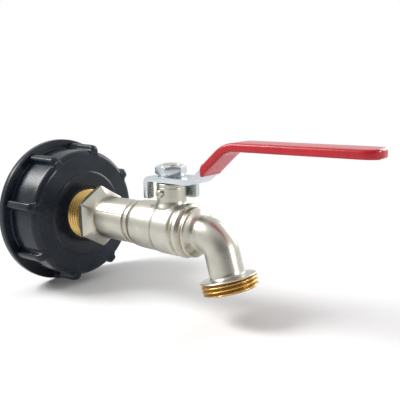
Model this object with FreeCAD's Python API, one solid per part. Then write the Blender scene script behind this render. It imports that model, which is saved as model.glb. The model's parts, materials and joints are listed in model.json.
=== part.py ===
import FreeCAD, Part
import math
import os

# Ball tap with a coarse-threaded cap that screws onto the outlet of an intermediate bulk container.
# Millimetres. The origin is the centre of the cap's open mouth, +X runs along the waterway from the
# tank towards the spout, and +Z is up, along the stem. The tap stands open: its lever lies along +X.

Vector = FreeCAD.Vector

# ---------------------------------------------------------------- clearances
THREAD_GAP = 0.05        # radial play between a male and a female thread
SLIP_GAP = 0.05          # radial play of a turning or sliding round fit
SEAL_GAP = 0.03          # play left round a seal ring drawn at its fitted size
SEAT_GAP = 0.04          # play between the ball and its seats
LEVER_GAP = 0.6          # from the top of the neck to the underside of the lever

# ---------------------------------------------------------------- standard threads
G34_RADIUS = 13.22       # G 3/4 male thread, outside radius
G34_DEPTH = 1.16         # G 3/4 thread, height of its profile
G34_PITCH = 1.814        # G 3/4 thread, 14 turns to the inch
TANK_MAJOR_RADIUS = 30.3  # S60x6 female thread, radius at its roots
TANK_THREAD_DEPTH = 2.8  # S60x6 female thread, height of its profile
TANK_PITCH = 6.0
TANK_CREST_WIDTH = 2.0
TANK_ROOT_WIDTH = 1.6

# ---------------------------------------------------------------- tank cap
CAP_DEPTH = 23.6         # mouth to front face
CAP_THREAD_WALL = 3.7    # from the tank thread's roots to the outside of the cup
CAP_FRONT_ROUND = 3.4    # rounding of the cup's front edge
CAP_WALL = 5.6           # thickness of the cap's front wall
CAP_RIM_WIDTH = 5.0      # how far the rim stands out from the cup
CAP_RIM_THICKNESS = 4.0
CAP_RIM_ROUND = 0.8
CAP_PAD_RADIUS = 22.5    # low round pad on the front face
CAP_PAD_HEIGHT = 0.8
CAP_HUB_WALL = 4.3       # wall of the hub inside the cap, round the tap's thread
CAP_HUB_LENGTH = 3.0
RIB_COUNT = 8
RIB_FIRST_ANGLE = 166.0  # first rib, degrees from +Y towards +Z
RIB_WIDTH = 4.4
RIB_HEIGHT = 3.6         # of the ribs above the cup, at the rim
RIB_FRONT_HEIGHT = 3.0   # of the ribs above the cup, at the front face
RIB_ROOT_DEPTH = 3.0     # how far a rib is drawn into the cup's wall
RIB_FRONT_ROUND = 3.2
RIB_EDGE_ROUND = 1.6
WINDOW_RIBS = (2, 6)     # ribs with a window for a sealing wire, counted from the first one
WINDOW_LENGTH = 6.2      # along the tap
WINDOW_HEIGHT = 2.4      # radially, above the cup

# ---------------------------------------------------------------- cap gasket and bore seal
GASKET_THREAD_GAP = 0.7  # from the tank thread's roots
GASKET_THICKNESS = 3.0
GASKET_HUB_GAP = 0.4
BORE_SEAL_THICKNESS = 1.8    # section of the ring round the tap's thread, in a recess of the pad
BORE_SEAL_WIDTH = 1.5        # radial depth of that recess

# ---------------------------------------------------------------- inlet fitting
INLET_INSERTION = 9.1    # length of the G 3/4 thread inside the cap, from the front of the pad
INLET_THREAD_CLEAR = 7.2     # thread left showing in front of the pad
INLET_RELIEF = 1.9       # undercut between the thread and the hexagon
INLET_RELIEF_DEPTH = 0.36    # below the thread's roots
HEX_ACROSS_FLATS = 28.0
HEX_FLAT_LENGTH = 2.4    # straight part of the hexagon
HEX_TAPER_LENGTH = 5.2   # forged taper from the hexagon to the barrel
HEX_TURN = 30.0          # one corner of the hexagon, degrees above the -Y side
BARREL_LENGTH = 23.3     # from the hexagon's taper to the joint with the body
BARREL_STEP = 0.2        # how much smaller the barrel is than the body at the joint
BARREL_GROOVE_BACK = 3.5     # from the joint to the turned groove
GROOVE_WIDTH = 0.7
GROOVE_DEPTH = 0.45
INLET_BORE_RADIUS = 7.6
SPIGOT_WALL = 1.4        # wall of the spigot that screws into the body, round the seat
THROAT_LENGTH = 6.0      # narrow part of the bore, behind the seat's pocket
JOINT_RING_DEPTH = 1.3   # radial depth of the joint ring's relief
JOINT_RING_LENGTH = 1.7
JOINT_RING_ROUND = 0.35

# ---------------------------------------------------------------- ball, seats and stem
JOINT_TO_STEM = 20.6     # joint with the body to the stem axis
BALL_RADIUS = 8.5
BALL_BORE_RADIUS = 5.0
BALL_SLOT_WIDTH = 3.4
BALL_SLOT_DEPTH = 2.6
SEAT_INSET = 0.2         # how much smaller a seat's outside is than the ball
SEAT_FRONT = 4.7         # stem axis to the seat's open end
SEAT_BACK_WALL = 0.5     # from the ball's side to the seat's back face
SEAT_POCKET_DEPTH = 2.2
WATERWAY_RADIUS = 5.2
SEAT_RING_SECTION = 0.7  # radius of the section of the rubber ring behind each seat
BALL_CAVITY_GAP = 0.6    # from the ball to the wall of its cavity
STEM_RADIUS = 4.0        # M8 at its upper end
STEM_FLANGE_WIDTH = 1.1  # how far the flange stands out from the stem
STEM_FLANGE_GAP = 0.4    # from the top of the ball to the flange
STEM_FLANGE_PLAY = 0.15  # round the flange, in the body
STEM_FLANGE_HEIGHT = 1.2
THRUST_WASHER_THICKNESS = 0.8
STEM_TANG_WIDTH = 7.0
STEM_FLAT_DEPTH = 1.0    # of each of the two flats that the lever sits on
STEM_ABOVE_NECK = 9.0    # from the top of the neck to the end of the stem
STEM_TOP_CHAMFER = 0.5
STEM_FIRST_RING = 1.7    # from the body's roof to the middle of the lower ring groove
STEM_RING_SPACING = 2.3
STEM_RING_GROOVE = 1.5   # width of a ring groove
STEM_RING_DEPTH = 1.15   # depth of a ring groove
QUARTER_TURN = 90.0      # travel of the lever

# ---------------------------------------------------------------- body
CHAMBER_JOINT_WALL = 1.4     # wall of the body round the spigot, at the joint
CHAMBER_RISE = 1.1       # how far the chamber swells behind the joint
CHAMBER_SWELL = 0.5      # how far it swells again round the ball
CHAMBER_STEP_BACK = 3.6  # from the stem axis back to the second swell
CHAMBER_FIRST_RING = 8.2     # from the stem axis to the first forged ring
CHAMBER_SECOND_RING = 13.4   # from the stem axis to the second forged ring
CHAMBER_LENGTH = 17.2    # from the stem axis to the chamber's end
CHAMBER_RING_DIP = 0.7   # depth of the first forged ring; the second is deeper
CHAMBER_END_STEP = 0.6   # how much lower the chamber is beyond the second ring
PIPE_RADIUS = 8.05
PIPE_BORE_RADIUS = 5.4
PIPE_STRAIGHT = 2.0      # from the chamber's end to the start of the bend
PIPE_FILLET = 1.6        # forged blend between the chamber and the pipe
BEND_RADIUS = 10.5
SPOUT_TILT = 15.0        # of the spout, forward from straight down
SPOUT_LENGTH = 18.9      # from the two axes' crossing to the hose thread's collar
HOSE_COLLAR = 1.0
HOSE_THREAD_LENGTH = 5.4
HOSE_END_CHAMFER = 0.6
NECK_WALL = 3.0          # wall of the neck round the stem
NECK_ABOVE_PIN = 4.6     # from the stop pin to the top of the neck
NECK_FLARE = 1.2         # forged flare at the foot of the neck
NECK_FLARE_HEIGHT = 2.2
NECK_TOP_CHAMFER = 0.4

# ---------------------------------------------------------------- stop pin
PIN_ABOVE_RING = 2.5     # from the upper ring groove to the pin
PIN_DIRECTION = 265.0    # degrees from +X towards +Y
PIN_RADIUS = 1.3
PIN_HEAD_RADIUS = 1.85
PIN_HEAD_LENGTH = 1.7
PIN_REACH = 1.0          # how far it reaches into the stem
PIN_HEAD_SINK = 0.6      # how far its head is sunk into the round neck
PIN_DIMPLE_RADIUS = 0.8
PIN_DIMPLE_DEPTH = 0.5

# ---------------------------------------------------------------- lever, sleeve, washer and nut
LEVER_THICKNESS = 2.5
LEVER_WIDTH = 13.7
LEVER_FOOT_BEND_X = 17.0     # stem axis to the lower bend
LEVER_HEAD_BEND_X = 36.1     # stem axis to the upper bend
LEVER_REACH = 102.4      # stem axis to the end of the steel
LEVER_RISE = 16.95       # from the foot to the grip
LEVER_FOOT_BEND_RADIUS = 5.0
LEVER_HEAD_BEND_RADIUS = 13.0
LEVER_TIP_RADIUS = 6.0
TAB_BEND_RADIUS = 1.0
TAB_DROP = 7.8           # from the top of the neck down to the lower end of both tabs
REAR_TAB_CLEARANCE = 2.2     # from the neck to the rear tab's inner face
REAR_TAB_WIDTH = 4.4
SIDE_TAB_CLEARANCE = 0.8     # from the neck to the side tab's inner face
SIDE_TAB_START = 1.4
SIDE_TAB_END = 8.6
SLEEVE_WALL = 0.65
SLEEVE_START = 23.2      # stem axis to the sleeve's open end
SLEEVE_EDGE_ROUND = 1.2
WASHER_THICKNESS = 0.7
WASHER_RADIUS = 6.2
NUT_ACROSS_FLATS = 13.0
NUT_HEIGHT = 4.4
NUT_TURN = 18.4          # direction of one flat, degrees from +X towards +Y

# ---------------------------------------------------------------- places worked out from the above
TANK_MINOR_RADIUS = TANK_MAJOR_RADIUS - TANK_THREAD_DEPTH
CAP_CUP_RADIUS = TANK_MAJOR_RADIUS + CAP_THREAD_WALL
CAP_RIM_RADIUS = CAP_CUP_RADIUS + CAP_RIM_WIDTH
RIB_RADIUS = CAP_CUP_RADIUS + RIB_HEIGHT
RIB_FRONT_RADIUS = CAP_CUP_RADIUS + RIB_FRONT_HEIGHT
CAP_HUB_RADIUS = G34_RADIUS + CAP_HUB_WALL
GASKET_OUTER_RADIUS = TANK_MAJOR_RADIUS - GASKET_THREAD_GAP
PAD_FRONT = CAP_DEPTH + CAP_PAD_HEIGHT
CAP_INNER_FACE = CAP_DEPTH - CAP_WALL
HUB_END = CAP_INNER_FACE - CAP_HUB_LENGTH
INLET_START = PAD_FRONT - INLET_INSERTION
INLET_THREAD_END = PAD_FRONT + INLET_THREAD_CLEAR
HEX_START = INLET_THREAD_END + INLET_RELIEF
HEX_TAPER_START = HEX_START + HEX_FLAT_LENGTH
BARREL_START = HEX_TAPER_START + HEX_TAPER_LENGTH
BARREL_END = BARREL_START + BARREL_LENGTH
INLET_RELIEF_RADIUS = G34_RADIUS - G34_DEPTH - INLET_RELIEF_DEPTH
STEM_X = BARREL_END + JOINT_TO_STEM
SEAT_OUTER_RADIUS = BALL_RADIUS - SEAT_INSET
SEAT_BACK = BALL_RADIUS + SEAT_BACK_WALL
SEAT_RING_RADIUS = (WATERWAY_RADIUS + SEAT_OUTER_RADIUS) / 2.0
BALL_CAVITY_RADIUS = BALL_RADIUS + BALL_CAVITY_GAP
POCKET_FRONT = SEAT_BACK - SEAT_POCKET_DEPTH
SPIGOT_RADIUS = SEAT_OUTER_RADIUS + SPIGOT_WALL
SPIGOT_END = STEM_X - POCKET_FRONT
CHAMBER_START_RADIUS = SPIGOT_RADIUS + CHAMBER_JOINT_WALL
CHAMBER_RADIUS = CHAMBER_START_RADIUS + CHAMBER_RISE
CHAMBER_SWELL_RADIUS = CHAMBER_RADIUS + CHAMBER_SWELL
BARREL_RADIUS = CHAMBER_START_RADIUS - BARREL_STEP
STEM_FLANGE_RADIUS = STEM_RADIUS + STEM_FLANGE_WIDTH
STEM_FLANGE_BASE = BALL_RADIUS + STEM_FLANGE_GAP
BODY_ROOF = STEM_FLANGE_BASE + STEM_FLANGE_HEIGHT + THRUST_WASHER_THICKNESS
LOWER_RING_HEIGHT = BODY_ROOF + STEM_FIRST_RING
UPPER_RING_HEIGHT = LOWER_RING_HEIGHT + STEM_RING_SPACING
PIN_HEIGHT = UPPER_RING_HEIGHT + PIN_ABOVE_RING
NECK_RADIUS = STEM_RADIUS + NECK_WALL
NECK_TOP = PIN_HEIGHT + NECK_ABOVE_PIN
STEM_TOP = NECK_TOP + STEM_ABOVE_NECK
STEM_FLATS = 2 * (STEM_RADIUS - STEM_FLAT_DEPTH)
REAR_TAB_FACE = NECK_RADIUS + REAR_TAB_CLEARANCE
SIDE_TAB_FACE = NECK_RADIUS + SIDE_TAB_CLEARANCE
TAB_FOOT = NECK_TOP - TAB_DROP
LEVER_BASE = NECK_TOP + LEVER_GAP
LEVER_TOP = LEVER_BASE + LEVER_THICKNESS
NUT_BASE = LEVER_TOP + WASHER_THICKNESS
NECK_BORE_RADIUS = STEM_RADIUS + SLIP_GAP
STEM_GROOVE_RADIUS = STEM_RADIUS - STEM_RING_DEPTH
BEND_ANGLE = 90.0 - SPOUT_TILT
BEND_TANGENT = BEND_RADIUS * math.tan(math.radians(BEND_ANGLE / 2.0))
CHAMBER_END = STEM_X + CHAMBER_LENGTH
BEND_START = CHAMBER_END + PIPE_STRAIGHT
BEND_X = BEND_START + BEND_TANGENT
SPOUT_DIRECTION = Vector(math.sin(math.radians(SPOUT_TILT)), 0, -math.cos(math.radians(SPOUT_TILT)))
SPOUT_ORIGIN = Vector(BEND_X, 0, 0)
AXIS_X = Vector(1, 0, 0)
AXIS_Y = Vector(0, 1, 0)
AXIS_Z = Vector(0, 0, 1)


# ---------------------------------------------------------------- small builders
def polar(radius, degrees):
    """A point in the YZ plane, turned from +Y towards +Z."""
    angle = math.radians(degrees)
    return Vector(0, radius * math.cos(angle), radius * math.sin(angle))


def tube_x(outer, inner, start, end):
    """A round tube along X; inner may be 0."""
    solid = Part.makeCylinder(outer, end - start, Vector(start, 0, 0), AXIS_X)
    if inner > 0:
        solid = solid.cut(Part.makeCylinder(inner, end - start + 2, Vector(start - 1, 0, 0), AXIS_X))
    return solid


def rod_x(radius, start, end):
    """A solid round bar along X."""
    return Part.makeCylinder(radius, end - start, Vector(start, 0, 0), AXIS_X)


def rod_z(radius, base, top, x=STEM_X):
    """A solid round bar along Z, on the stem axis unless told otherwise."""
    return Part.makeCylinder(radius, top - base, Vector(x, 0, base), AXIS_Z)


def spin_x(points):
    """Turn a closed outline of (x, radius) points about the X axis."""
    corners = [Vector(x, 0, radius) for x, radius in points]
    wire = Part.makePolygon(corners + [corners[0]])
    return Part.Face(wire).revolve(Vector(0, 0, 0), AXIS_X, 360)


def spin_z(points, x=STEM_X):
    """Turn a closed outline of (radius, z) points about the stem axis."""
    corners = [Vector(x + radius, 0, z) for radius, z in points]
    wire = Part.makePolygon(corners + [corners[0]])
    return Part.Face(wire).revolve(Vector(x, 0, 0), AXIS_Z, 360)


def hexagon(across_flats, plane_x, corner_degrees):
    """A hexagon's corners in a plane across X."""
    radius = across_flats / 2.0 / math.cos(math.radians(30))
    return [polar(radius, corner_degrees + 60 * k) + Vector(plane_x, 0, 0) for k in range(6)]


def edges_where(shape, test):
    """The shape's edges whose ends and middle all pass a test."""
    chosen = []
    for edge in shape.Edges:
        first, last = edge.ParameterRange
        points = [edge.valueAt(first), edge.valueAt((first + last) / 2.0), edge.valueAt(last)]
        if all(test(point) for point in points):
            chosen.append(edge)
    return chosen


def thread_outline(start, end, crest, depth, pitch, floor):
    """Outline of a bar whose top edge is a row of thread crests, as (x, radius) points."""
    flat = pitch / 8.0
    flank = (pitch - 2 * flat) / 2.0
    root = crest - depth
    points = [(start, floor), (start, root)]
    x = start + flat / 2.0
    while x + 2 * flank + flat < end - 0.01:
        points += [(x, root), (x + flank, crest)]
        points += [(x + flank + flat, crest), (x + 2 * flank + flat, root)]
        x += pitch
    points += [(end, root), (end, floor)]
    return points


# ---------------------------------------------------------------- tank cap and its seals
def cap_cup():
    """The cap's closed cup with its rim, before anything is hollowed out."""
    cup = rod_x(CAP_CUP_RADIUS, 0, CAP_DEPTH)
    cup = cup.makeFillet(CAP_FRONT_ROUND, edges_where(cup, lambda p: p.x > CAP_DEPTH - 0.1))
    rim = rod_x(CAP_RIM_RADIUS, 0, CAP_RIM_THICKNESS)
    rim = rim.makeFillet(CAP_RIM_ROUND, [e for e in rim.Edges if e.Closed])
    pad = rod_x(CAP_PAD_RADIUS, CAP_DEPTH - 1.0, PAD_FRONT)
    pad = pad.makeFillet(CAP_PAD_HEIGHT * 0.6, edges_where(pad, lambda p: p.x > PAD_FRONT - 0.1))
    return cup.fuse([rim, pad])


def cap_rib():
    """One rib, standing along +Y, from inside the cup's wall out to its rounded back."""
    inside = CAP_CUP_RADIUS - RIB_ROOT_DEPTH
    back = CAP_RIM_THICKNESS / 2.0
    front = CAP_DEPTH
    corners = [
        Vector(back, inside, -RIB_WIDTH / 2.0),
        Vector(back, RIB_RADIUS, -RIB_WIDTH / 2.0),
        Vector(front, RIB_FRONT_RADIUS, -RIB_WIDTH / 2.0),
        Vector(front, inside, -RIB_WIDTH / 2.0),
    ]
    face = Part.Face(Part.makePolygon(corners + [corners[0]]))
    rib = face.extrude(Vector(0, 0, RIB_WIDTH))
    corner = edges_where(rib, lambda p: p.x > front - 0.1 and p.y > RIB_FRONT_RADIUS - 0.1)
    rib = rib.makeFillet(RIB_FRONT_ROUND, corner)
    sides = edges_where(rib, lambda p: abs(p.z) > RIB_WIDTH / 2.0 - 0.01)
    outer = [e for e in sides if e.BoundBox.XMax > back + 0.1 and e.BoundBox.YMax > inside + 0.1]
    return rib.makeFillet(RIB_EDGE_ROUND, outer)


def rib_window():
    """The opening through one rib, next to the rim, for a sealing wire."""
    across = RIB_WIDTH + 2
    corner = Vector(CAP_RIM_THICKNESS, CAP_CUP_RADIUS, -across / 2.0)
    return Part.makeBox(WINDOW_LENGTH, WINDOW_HEIGHT, across, corner)


def tank_thread_space():
    """The hollow that the tank's outlet screws into, with the thread as separate rings."""
    flank = (TANK_PITCH - TANK_CREST_WIDTH - TANK_ROOT_WIDTH) / 2.0
    gasket_face = CAP_INNER_FACE - GASKET_THICKNESS
    points = [(-1.0, 0.0), (-1.0, TANK_MINOR_RADIUS)]
    x = TANK_CREST_WIDTH
    while x + TANK_PITCH + flank / 2.0 < gasket_face:
        root_end = x + flank + TANK_ROOT_WIDTH
        points += [(x, TANK_MINOR_RADIUS), (x + flank, TANK_MAJOR_RADIUS)]
        points += [(root_end, TANK_MAJOR_RADIUS), (root_end + flank, TANK_MINOR_RADIUS)]
        x += TANK_PITCH
    points += [(x, TANK_MINOR_RADIUS), (x + flank / 2.0, TANK_MAJOR_RADIUS)]
    points += [(CAP_INNER_FACE, TANK_MAJOR_RADIUS), (CAP_INNER_FACE, 0.0)]
    return spin_x(points)


def make_tank_cap():
    """Black moulded cap: cup, rim, ribs, tank thread, and the threaded hole for the tap."""
    cap = cap_cup()
    ribs = []
    for k in range(RIB_COUNT):
        rib = cap_rib()
        if k in WINDOW_RIBS:
            rib = rib.cut(rib_window())
        rib.rotate(Vector(0, 0, 0), AXIS_X, RIB_FIRST_ANGLE - 360.0 / RIB_COUNT * k)
        ribs.append(rib)
    cap = cap.fuse(ribs)
    cap = cap.cut(tank_thread_space())
    hub = rod_x(CAP_HUB_RADIUS, HUB_END, CAP_INNER_FACE + 0.5)
    cap = cap.fuse(hub)
    crest = G34_RADIUS + THREAD_GAP
    space = thread_outline(INLET_START, INLET_THREAD_END, crest, G34_DEPTH, G34_PITCH, 0.0)
    cap = cap.cut(spin_x(space)).cut(rod_x(crest, 0, INLET_START))
    recess = rod_x(G34_RADIUS + BORE_SEAL_WIDTH, PAD_FRONT - BORE_SEAL_THICKNESS, PAD_FRONT + 1)
    return cap.cut(recess).removeSplitter()


def make_cap_gasket():
    """Flat rubber ring that seals the cap against the mouth of the tank's outlet."""
    inner = CAP_HUB_RADIUS + GASKET_HUB_GAP
    return tube_x(GASKET_OUTER_RADIUS, inner, CAP_INNER_FACE - GASKET_THICKNESS, CAP_INNER_FACE)


def make_bore_seal():
    """Rubber ring in the pad's recess, round the tap's thread."""
    start = PAD_FRONT - BORE_SEAL_THICKNESS
    outer = G34_RADIUS + BORE_SEAL_WIDTH - SEAL_GAP
    ring = tube_x(outer, G34_RADIUS + SEAL_GAP, start, PAD_FRONT - 0.2)
    return ring.makeFillet(0.3, edges_where(ring, lambda p: p.x > PAD_FRONT - 0.3))


# ---------------------------------------------------------------- inlet fitting
def inlet_hexagon():
    """The forged hexagon and its taper down to the barrel."""
    corners = hexagon(HEX_ACROSS_FLATS, HEX_START, 180.0 - HEX_TURN)
    prism = Part.Face(Part.makePolygon(corners + [corners[0]])).extrude(Vector(HEX_FLAT_LENGTH, 0, 0))
    corner_radius = HEX_ACROSS_FLATS / 2.0 / math.cos(math.radians(30))
    bevel = (corner_radius - HEX_ACROSS_FLATS / 2.0) * 0.8
    turned = spin_x([
        (HEX_START, 0.0),
        (HEX_START, corner_radius - bevel),
        (HEX_START + bevel * 0.6, corner_radius),
        (HEX_TAPER_START + 1, corner_radius),
        (HEX_TAPER_START + 1, 0.0),
    ])
    prism = prism.common(turned)
    base = hexagon(HEX_ACROSS_FLATS, HEX_TAPER_START, 180.0 - HEX_TURN)
    base_wire = Part.makePolygon(base + [base[0]])
    arcs = []
    for k in range(6):
        angle = 180.0 - HEX_TURN + 60 * k
        ends = [polar(BARREL_RADIUS, angle + step) + Vector(BARREL_START, 0, 0) for step in (0, 30, 60)]
        arcs.append(Part.Arc(*ends).toShape())
    taper = Part.makeLoft([base_wire, Part.Wire(arcs)], True, True)
    return prism.fuse(taper)


def make_inlet_fitting():
    """Brass end piece: G 3/4 thread, hexagon, barrel and the spigot that screws into the body."""
    thread = spin_x(thread_outline(INLET_START, INLET_THREAD_END, G34_RADIUS, G34_DEPTH, G34_PITCH, 0.0))
    groove = BARREL_END - BARREL_GROOVE_BACK
    half = GROOVE_WIDTH / 2.0
    bar = spin_x([
        (INLET_THREAD_END, 0.0),
        (INLET_THREAD_END, INLET_RELIEF_RADIUS),
        (HEX_START, INLET_RELIEF_RADIUS),
        (HEX_START, BARREL_RADIUS),
        (groove - half, BARREL_RADIUS),
        (groove, BARREL_RADIUS - GROOVE_DEPTH),
        (groove + half, BARREL_RADIUS),
        (BARREL_END - half, CHAMBER_START_RADIUS),
        (BARREL_END, CHAMBER_START_RADIUS - GROOVE_DEPTH),
        (BARREL_END, SPIGOT_RADIUS),
        (SPIGOT_END, SPIGOT_RADIUS),
        (SPIGOT_END, 0.0),
    ])
    fitting = thread.fuse([bar, inlet_hexagon()])
    step = SPIGOT_END - SEAT_POCKET_DEPTH - THROAT_LENGTH
    bore = spin_x([
        (INLET_START - 1, 0.0),
        (INLET_START - 1, INLET_BORE_RADIUS),
        (step - (INLET_BORE_RADIUS - WATERWAY_RADIUS), INLET_BORE_RADIUS),
        (step, WATERWAY_RADIUS),
        (SPIGOT_END + 1, WATERWAY_RADIUS),
        (SPIGOT_END + 1, 0.0),
    ])
    pocket = rod_x(SEAT_OUTER_RADIUS + SEAL_GAP, STEM_X - SEAT_BACK, SPIGOT_END + 1)
    fitting = fitting.cut(bore).cut(pocket)
    return fitting.cut(seat_ring_groove(-1)).cut(joint_ring_space()).removeSplitter()


def joint_ring_space():
    """Relief round the spigot, against the joint face, that holds the joint's rubber ring."""
    inner = SPIGOT_RADIUS - JOINT_RING_DEPTH
    return tube_x(SPIGOT_RADIUS + 1, inner, BARREL_END, BARREL_END + JOINT_RING_LENGTH)


def make_joint_ring():
    """Rubber ring that seals the screwed joint between the inlet fitting and the body."""
    inner = SPIGOT_RADIUS - JOINT_RING_DEPTH + SEAL_GAP
    end = BARREL_END + JOINT_RING_LENGTH - SEAL_GAP
    ring = tube_x(SPIGOT_RADIUS, inner, BARREL_END + SEAL_GAP, end)
    return ring.makeFillet(JOINT_RING_ROUND, [e for e in ring.Edges if e.Closed])


# ---------------------------------------------------------------- ball, seats and stem
def ball_sphere(extra):
    """The ball's sphere, grown by a clearance."""
    return Part.makeSphere(BALL_RADIUS + extra, Vector(STEM_X, 0, 0))


def make_ball():
    """Plated brass ball with its bore along X and the slot that the stem turns it by."""
    ball = ball_sphere(0.0)
    reach = BALL_RADIUS + 1
    ball = ball.cut(rod_x(BALL_BORE_RADIUS, STEM_X - reach, STEM_X + reach))
    slot = Part.makeBox(
        BALL_SLOT_WIDTH, 2 * reach, BALL_SLOT_DEPTH + 1,
        Vector(STEM_X - BALL_SLOT_WIDTH / 2.0, -reach, BALL_RADIUS - BALL_SLOT_DEPTH))
    return ball.cut(slot)


def make_seat(side):
    """PTFE seat ring; side is -1 at the inlet and 1 at the outlet."""
    ends = sorted((STEM_X + side * SEAT_FRONT, STEM_X + side * SEAT_BACK))
    ring = tube_x(SEAT_OUTER_RADIUS, WATERWAY_RADIUS, ends[0], ends[1])
    return ring.cut(ball_sphere(SEAT_GAP))


def seat_ring_groove(side):
    """Groove behind a seat for its rubber ring."""
    face = STEM_X + side * SEAT_BACK
    deep = 2 * SEAT_RING_SECTION
    ends = sorted((face, face + side * deep))
    half = SEAT_RING_SECTION + SEAL_GAP
    return tube_x(SEAT_RING_RADIUS + half, SEAT_RING_RADIUS - half, ends[0], ends[1])


def make_seat_ring(side):
    """Rubber ring that presses a seat against the ball."""
    centre = STEM_X + side * (SEAT_BACK + SEAT_RING_SECTION)
    return Part.makeTorus(SEAT_RING_RADIUS, SEAT_RING_SECTION - SEAL_GAP, Vector(centre, 0, 0), AXIS_X)


def stem_stop_slot():
    """The quarter-turn slot that the stop pin runs in, as space cut from the stem."""
    radius = PIN_RADIUS + SLIP_GAP
    floor = STEM_RADIUS - PIN_REACH - SLIP_GAP
    ring = Part.makeCylinder(
        STEM_RADIUS + 1, 2 * radius, Vector(STEM_X, 0, PIN_HEIGHT - radius), AXIS_Z, QUARTER_TURN)
    ring = ring.cut(rod_z(floor, PIN_HEIGHT - radius - 1, PIN_HEIGHT + radius + 1))
    ring.rotate(Vector(STEM_X, 0, 0), AXIS_Z, PIN_DIRECTION)
    ends = []
    for turn in (0.0, QUARTER_TURN):
        direction = pin_direction(turn)
        start = Vector(STEM_X, 0, PIN_HEIGHT) + direction * floor
        ends.append(Part.makeCylinder(radius, PIN_REACH + 1, start, direction))
    return ring.fuse(ends)


def make_stem():
    """Stem from the ball's slot to the lever's nut, with ring grooves, stop slot and two flats."""
    flange_top = STEM_FLANGE_BASE + STEM_FLANGE_HEIGHT
    profile = [(0.0, STEM_FLANGE_BASE), (STEM_FLANGE_RADIUS, STEM_FLANGE_BASE)]
    profile += [(STEM_FLANGE_RADIUS, flange_top), (STEM_RADIUS, flange_top)]
    for height in (LOWER_RING_HEIGHT, UPPER_RING_HEIGHT):
        half = STEM_RING_GROOVE / 2.0
        profile += [(STEM_RADIUS, height - half), (STEM_GROOVE_RADIUS, height - half)]
        profile += [(STEM_GROOVE_RADIUS, height + half), (STEM_RADIUS, height + half)]
    profile += [(STEM_RADIUS, STEM_TOP - STEM_TOP_CHAMFER), (STEM_RADIUS - STEM_TOP_CHAMFER, STEM_TOP)]
    profile += [(0.0, STEM_TOP)]
    stem = spin_z(profile)
    tang_base = BALL_RADIUS - BALL_SLOT_DEPTH + 0.2
    thickness = BALL_SLOT_WIDTH - 2 * SLIP_GAP
    tang = Part.makeBox(
        thickness, STEM_TANG_WIDTH, STEM_FLANGE_BASE - tang_base,
        Vector(STEM_X - thickness / 2.0, -STEM_TANG_WIDTH / 2.0, tang_base))
    stem = stem.fuse(tang)
    for side in (-1, 1):
        start = STEM_FLATS / 2.0 if side > 0 else -STEM_FLATS / 2.0 - STEM_RADIUS
        corner = Vector(STEM_X - STEM_RADIUS, start, LEVER_BASE)
        stem = stem.cut(Part.makeBox(2 * STEM_RADIUS, STEM_RADIUS, STEM_TOP - LEVER_BASE + 1, corner))
    return stem.cut(stem_stop_slot()).removeSplitter()


def make_thrust_washer():
    """PTFE washer between the stem's flange and the body's roof."""
    washer = rod_z(STEM_FLANGE_RADIUS, STEM_FLANGE_BASE + STEM_FLANGE_HEIGHT, BODY_ROOF)
    return washer.cut(rod_z(NECK_BORE_RADIUS, 0, STEM_TOP))


def make_stem_ring(height):
    """Rubber ring in one of the stem's grooves, at its fitted size."""
    inner = STEM_GROOVE_RADIUS + SEAL_GAP
    outer = STEM_RADIUS + SLIP_GAP / 2.0
    half = STEM_RING_GROOVE / 2.0 - SEAL_GAP
    ring = rod_z(outer, height - half, height + half).cut(rod_z(inner, 0, STEM_TOP))
    return ring.makeFillet(0.3, [e for e in ring.Edges if e.Closed])


# ---------------------------------------------------------------- body
def chamber_outside():
    """The body's turned and forged outside, from the joint to the start of the pipe."""
    first = STEM_X + CHAMBER_FIRST_RING
    second = STEM_X + CHAMBER_SECOND_RING
    start = BARREL_END
    step = STEM_X - CHAMBER_STEP_BACK
    far = CHAMBER_SWELL_RADIUS - CHAMBER_END_STEP
    return spin_x([
        (start, 0.0),
        (start, CHAMBER_START_RADIUS - GROOVE_DEPTH),
        (start + GROOVE_WIDTH / 2.0, CHAMBER_START_RADIUS),
        (start + 2.0, CHAMBER_START_RADIUS + 0.6),
        (start + 6.0, CHAMBER_RADIUS - 0.2),
        (step - 0.8, CHAMBER_RADIUS),
        (step + 0.8, CHAMBER_SWELL_RADIUS - 0.1),
        (first - 2.0, CHAMBER_SWELL_RADIUS),
        (first - 1.0, CHAMBER_SWELL_RADIUS - 0.2),
        (first, CHAMBER_SWELL_RADIUS - CHAMBER_RING_DIP),
        (first + 1.0, CHAMBER_SWELL_RADIUS - 0.2),
        (first + 1.9, CHAMBER_SWELL_RADIUS + 0.1),
        (second - 1.9, CHAMBER_SWELL_RADIUS + 0.1),
        (second - 1.0, CHAMBER_SWELL_RADIUS - 0.3),
        (second, far - CHAMBER_RING_DIP),
        (second + 0.9, far),
        (CHAMBER_END - 1.6, far),
        (CHAMBER_END - 0.4, far - 0.8),
        (CHAMBER_END + 0.5, PIPE_RADIUS + 0.9),
        (CHAMBER_END + PIPE_FILLET, PIPE_RADIUS),
        (BEND_START, PIPE_RADIUS),
        (BEND_START, 0.0),
    ])


def bent_bar(radius, start, spout_end):
    """A round bar from start on the pipe axis, round the bend, to spout_end down the spout axis."""
    straight = rod_x(radius, start, BEND_START)
    circle = Part.Wire(Part.makeCircle(radius, Vector(BEND_START, 0, 0), AXIS_X))
    bend = Part.Face(circle).revolve(Vector(BEND_START, 0, -BEND_RADIUS), AXIS_Y, BEND_ANGLE)
    spout = Part.makeCylinder(
        radius, spout_end - BEND_TANGENT, SPOUT_ORIGIN + SPOUT_DIRECTION * BEND_TANGENT, SPOUT_DIRECTION)
    return straight.fuse([bend, spout])


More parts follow.
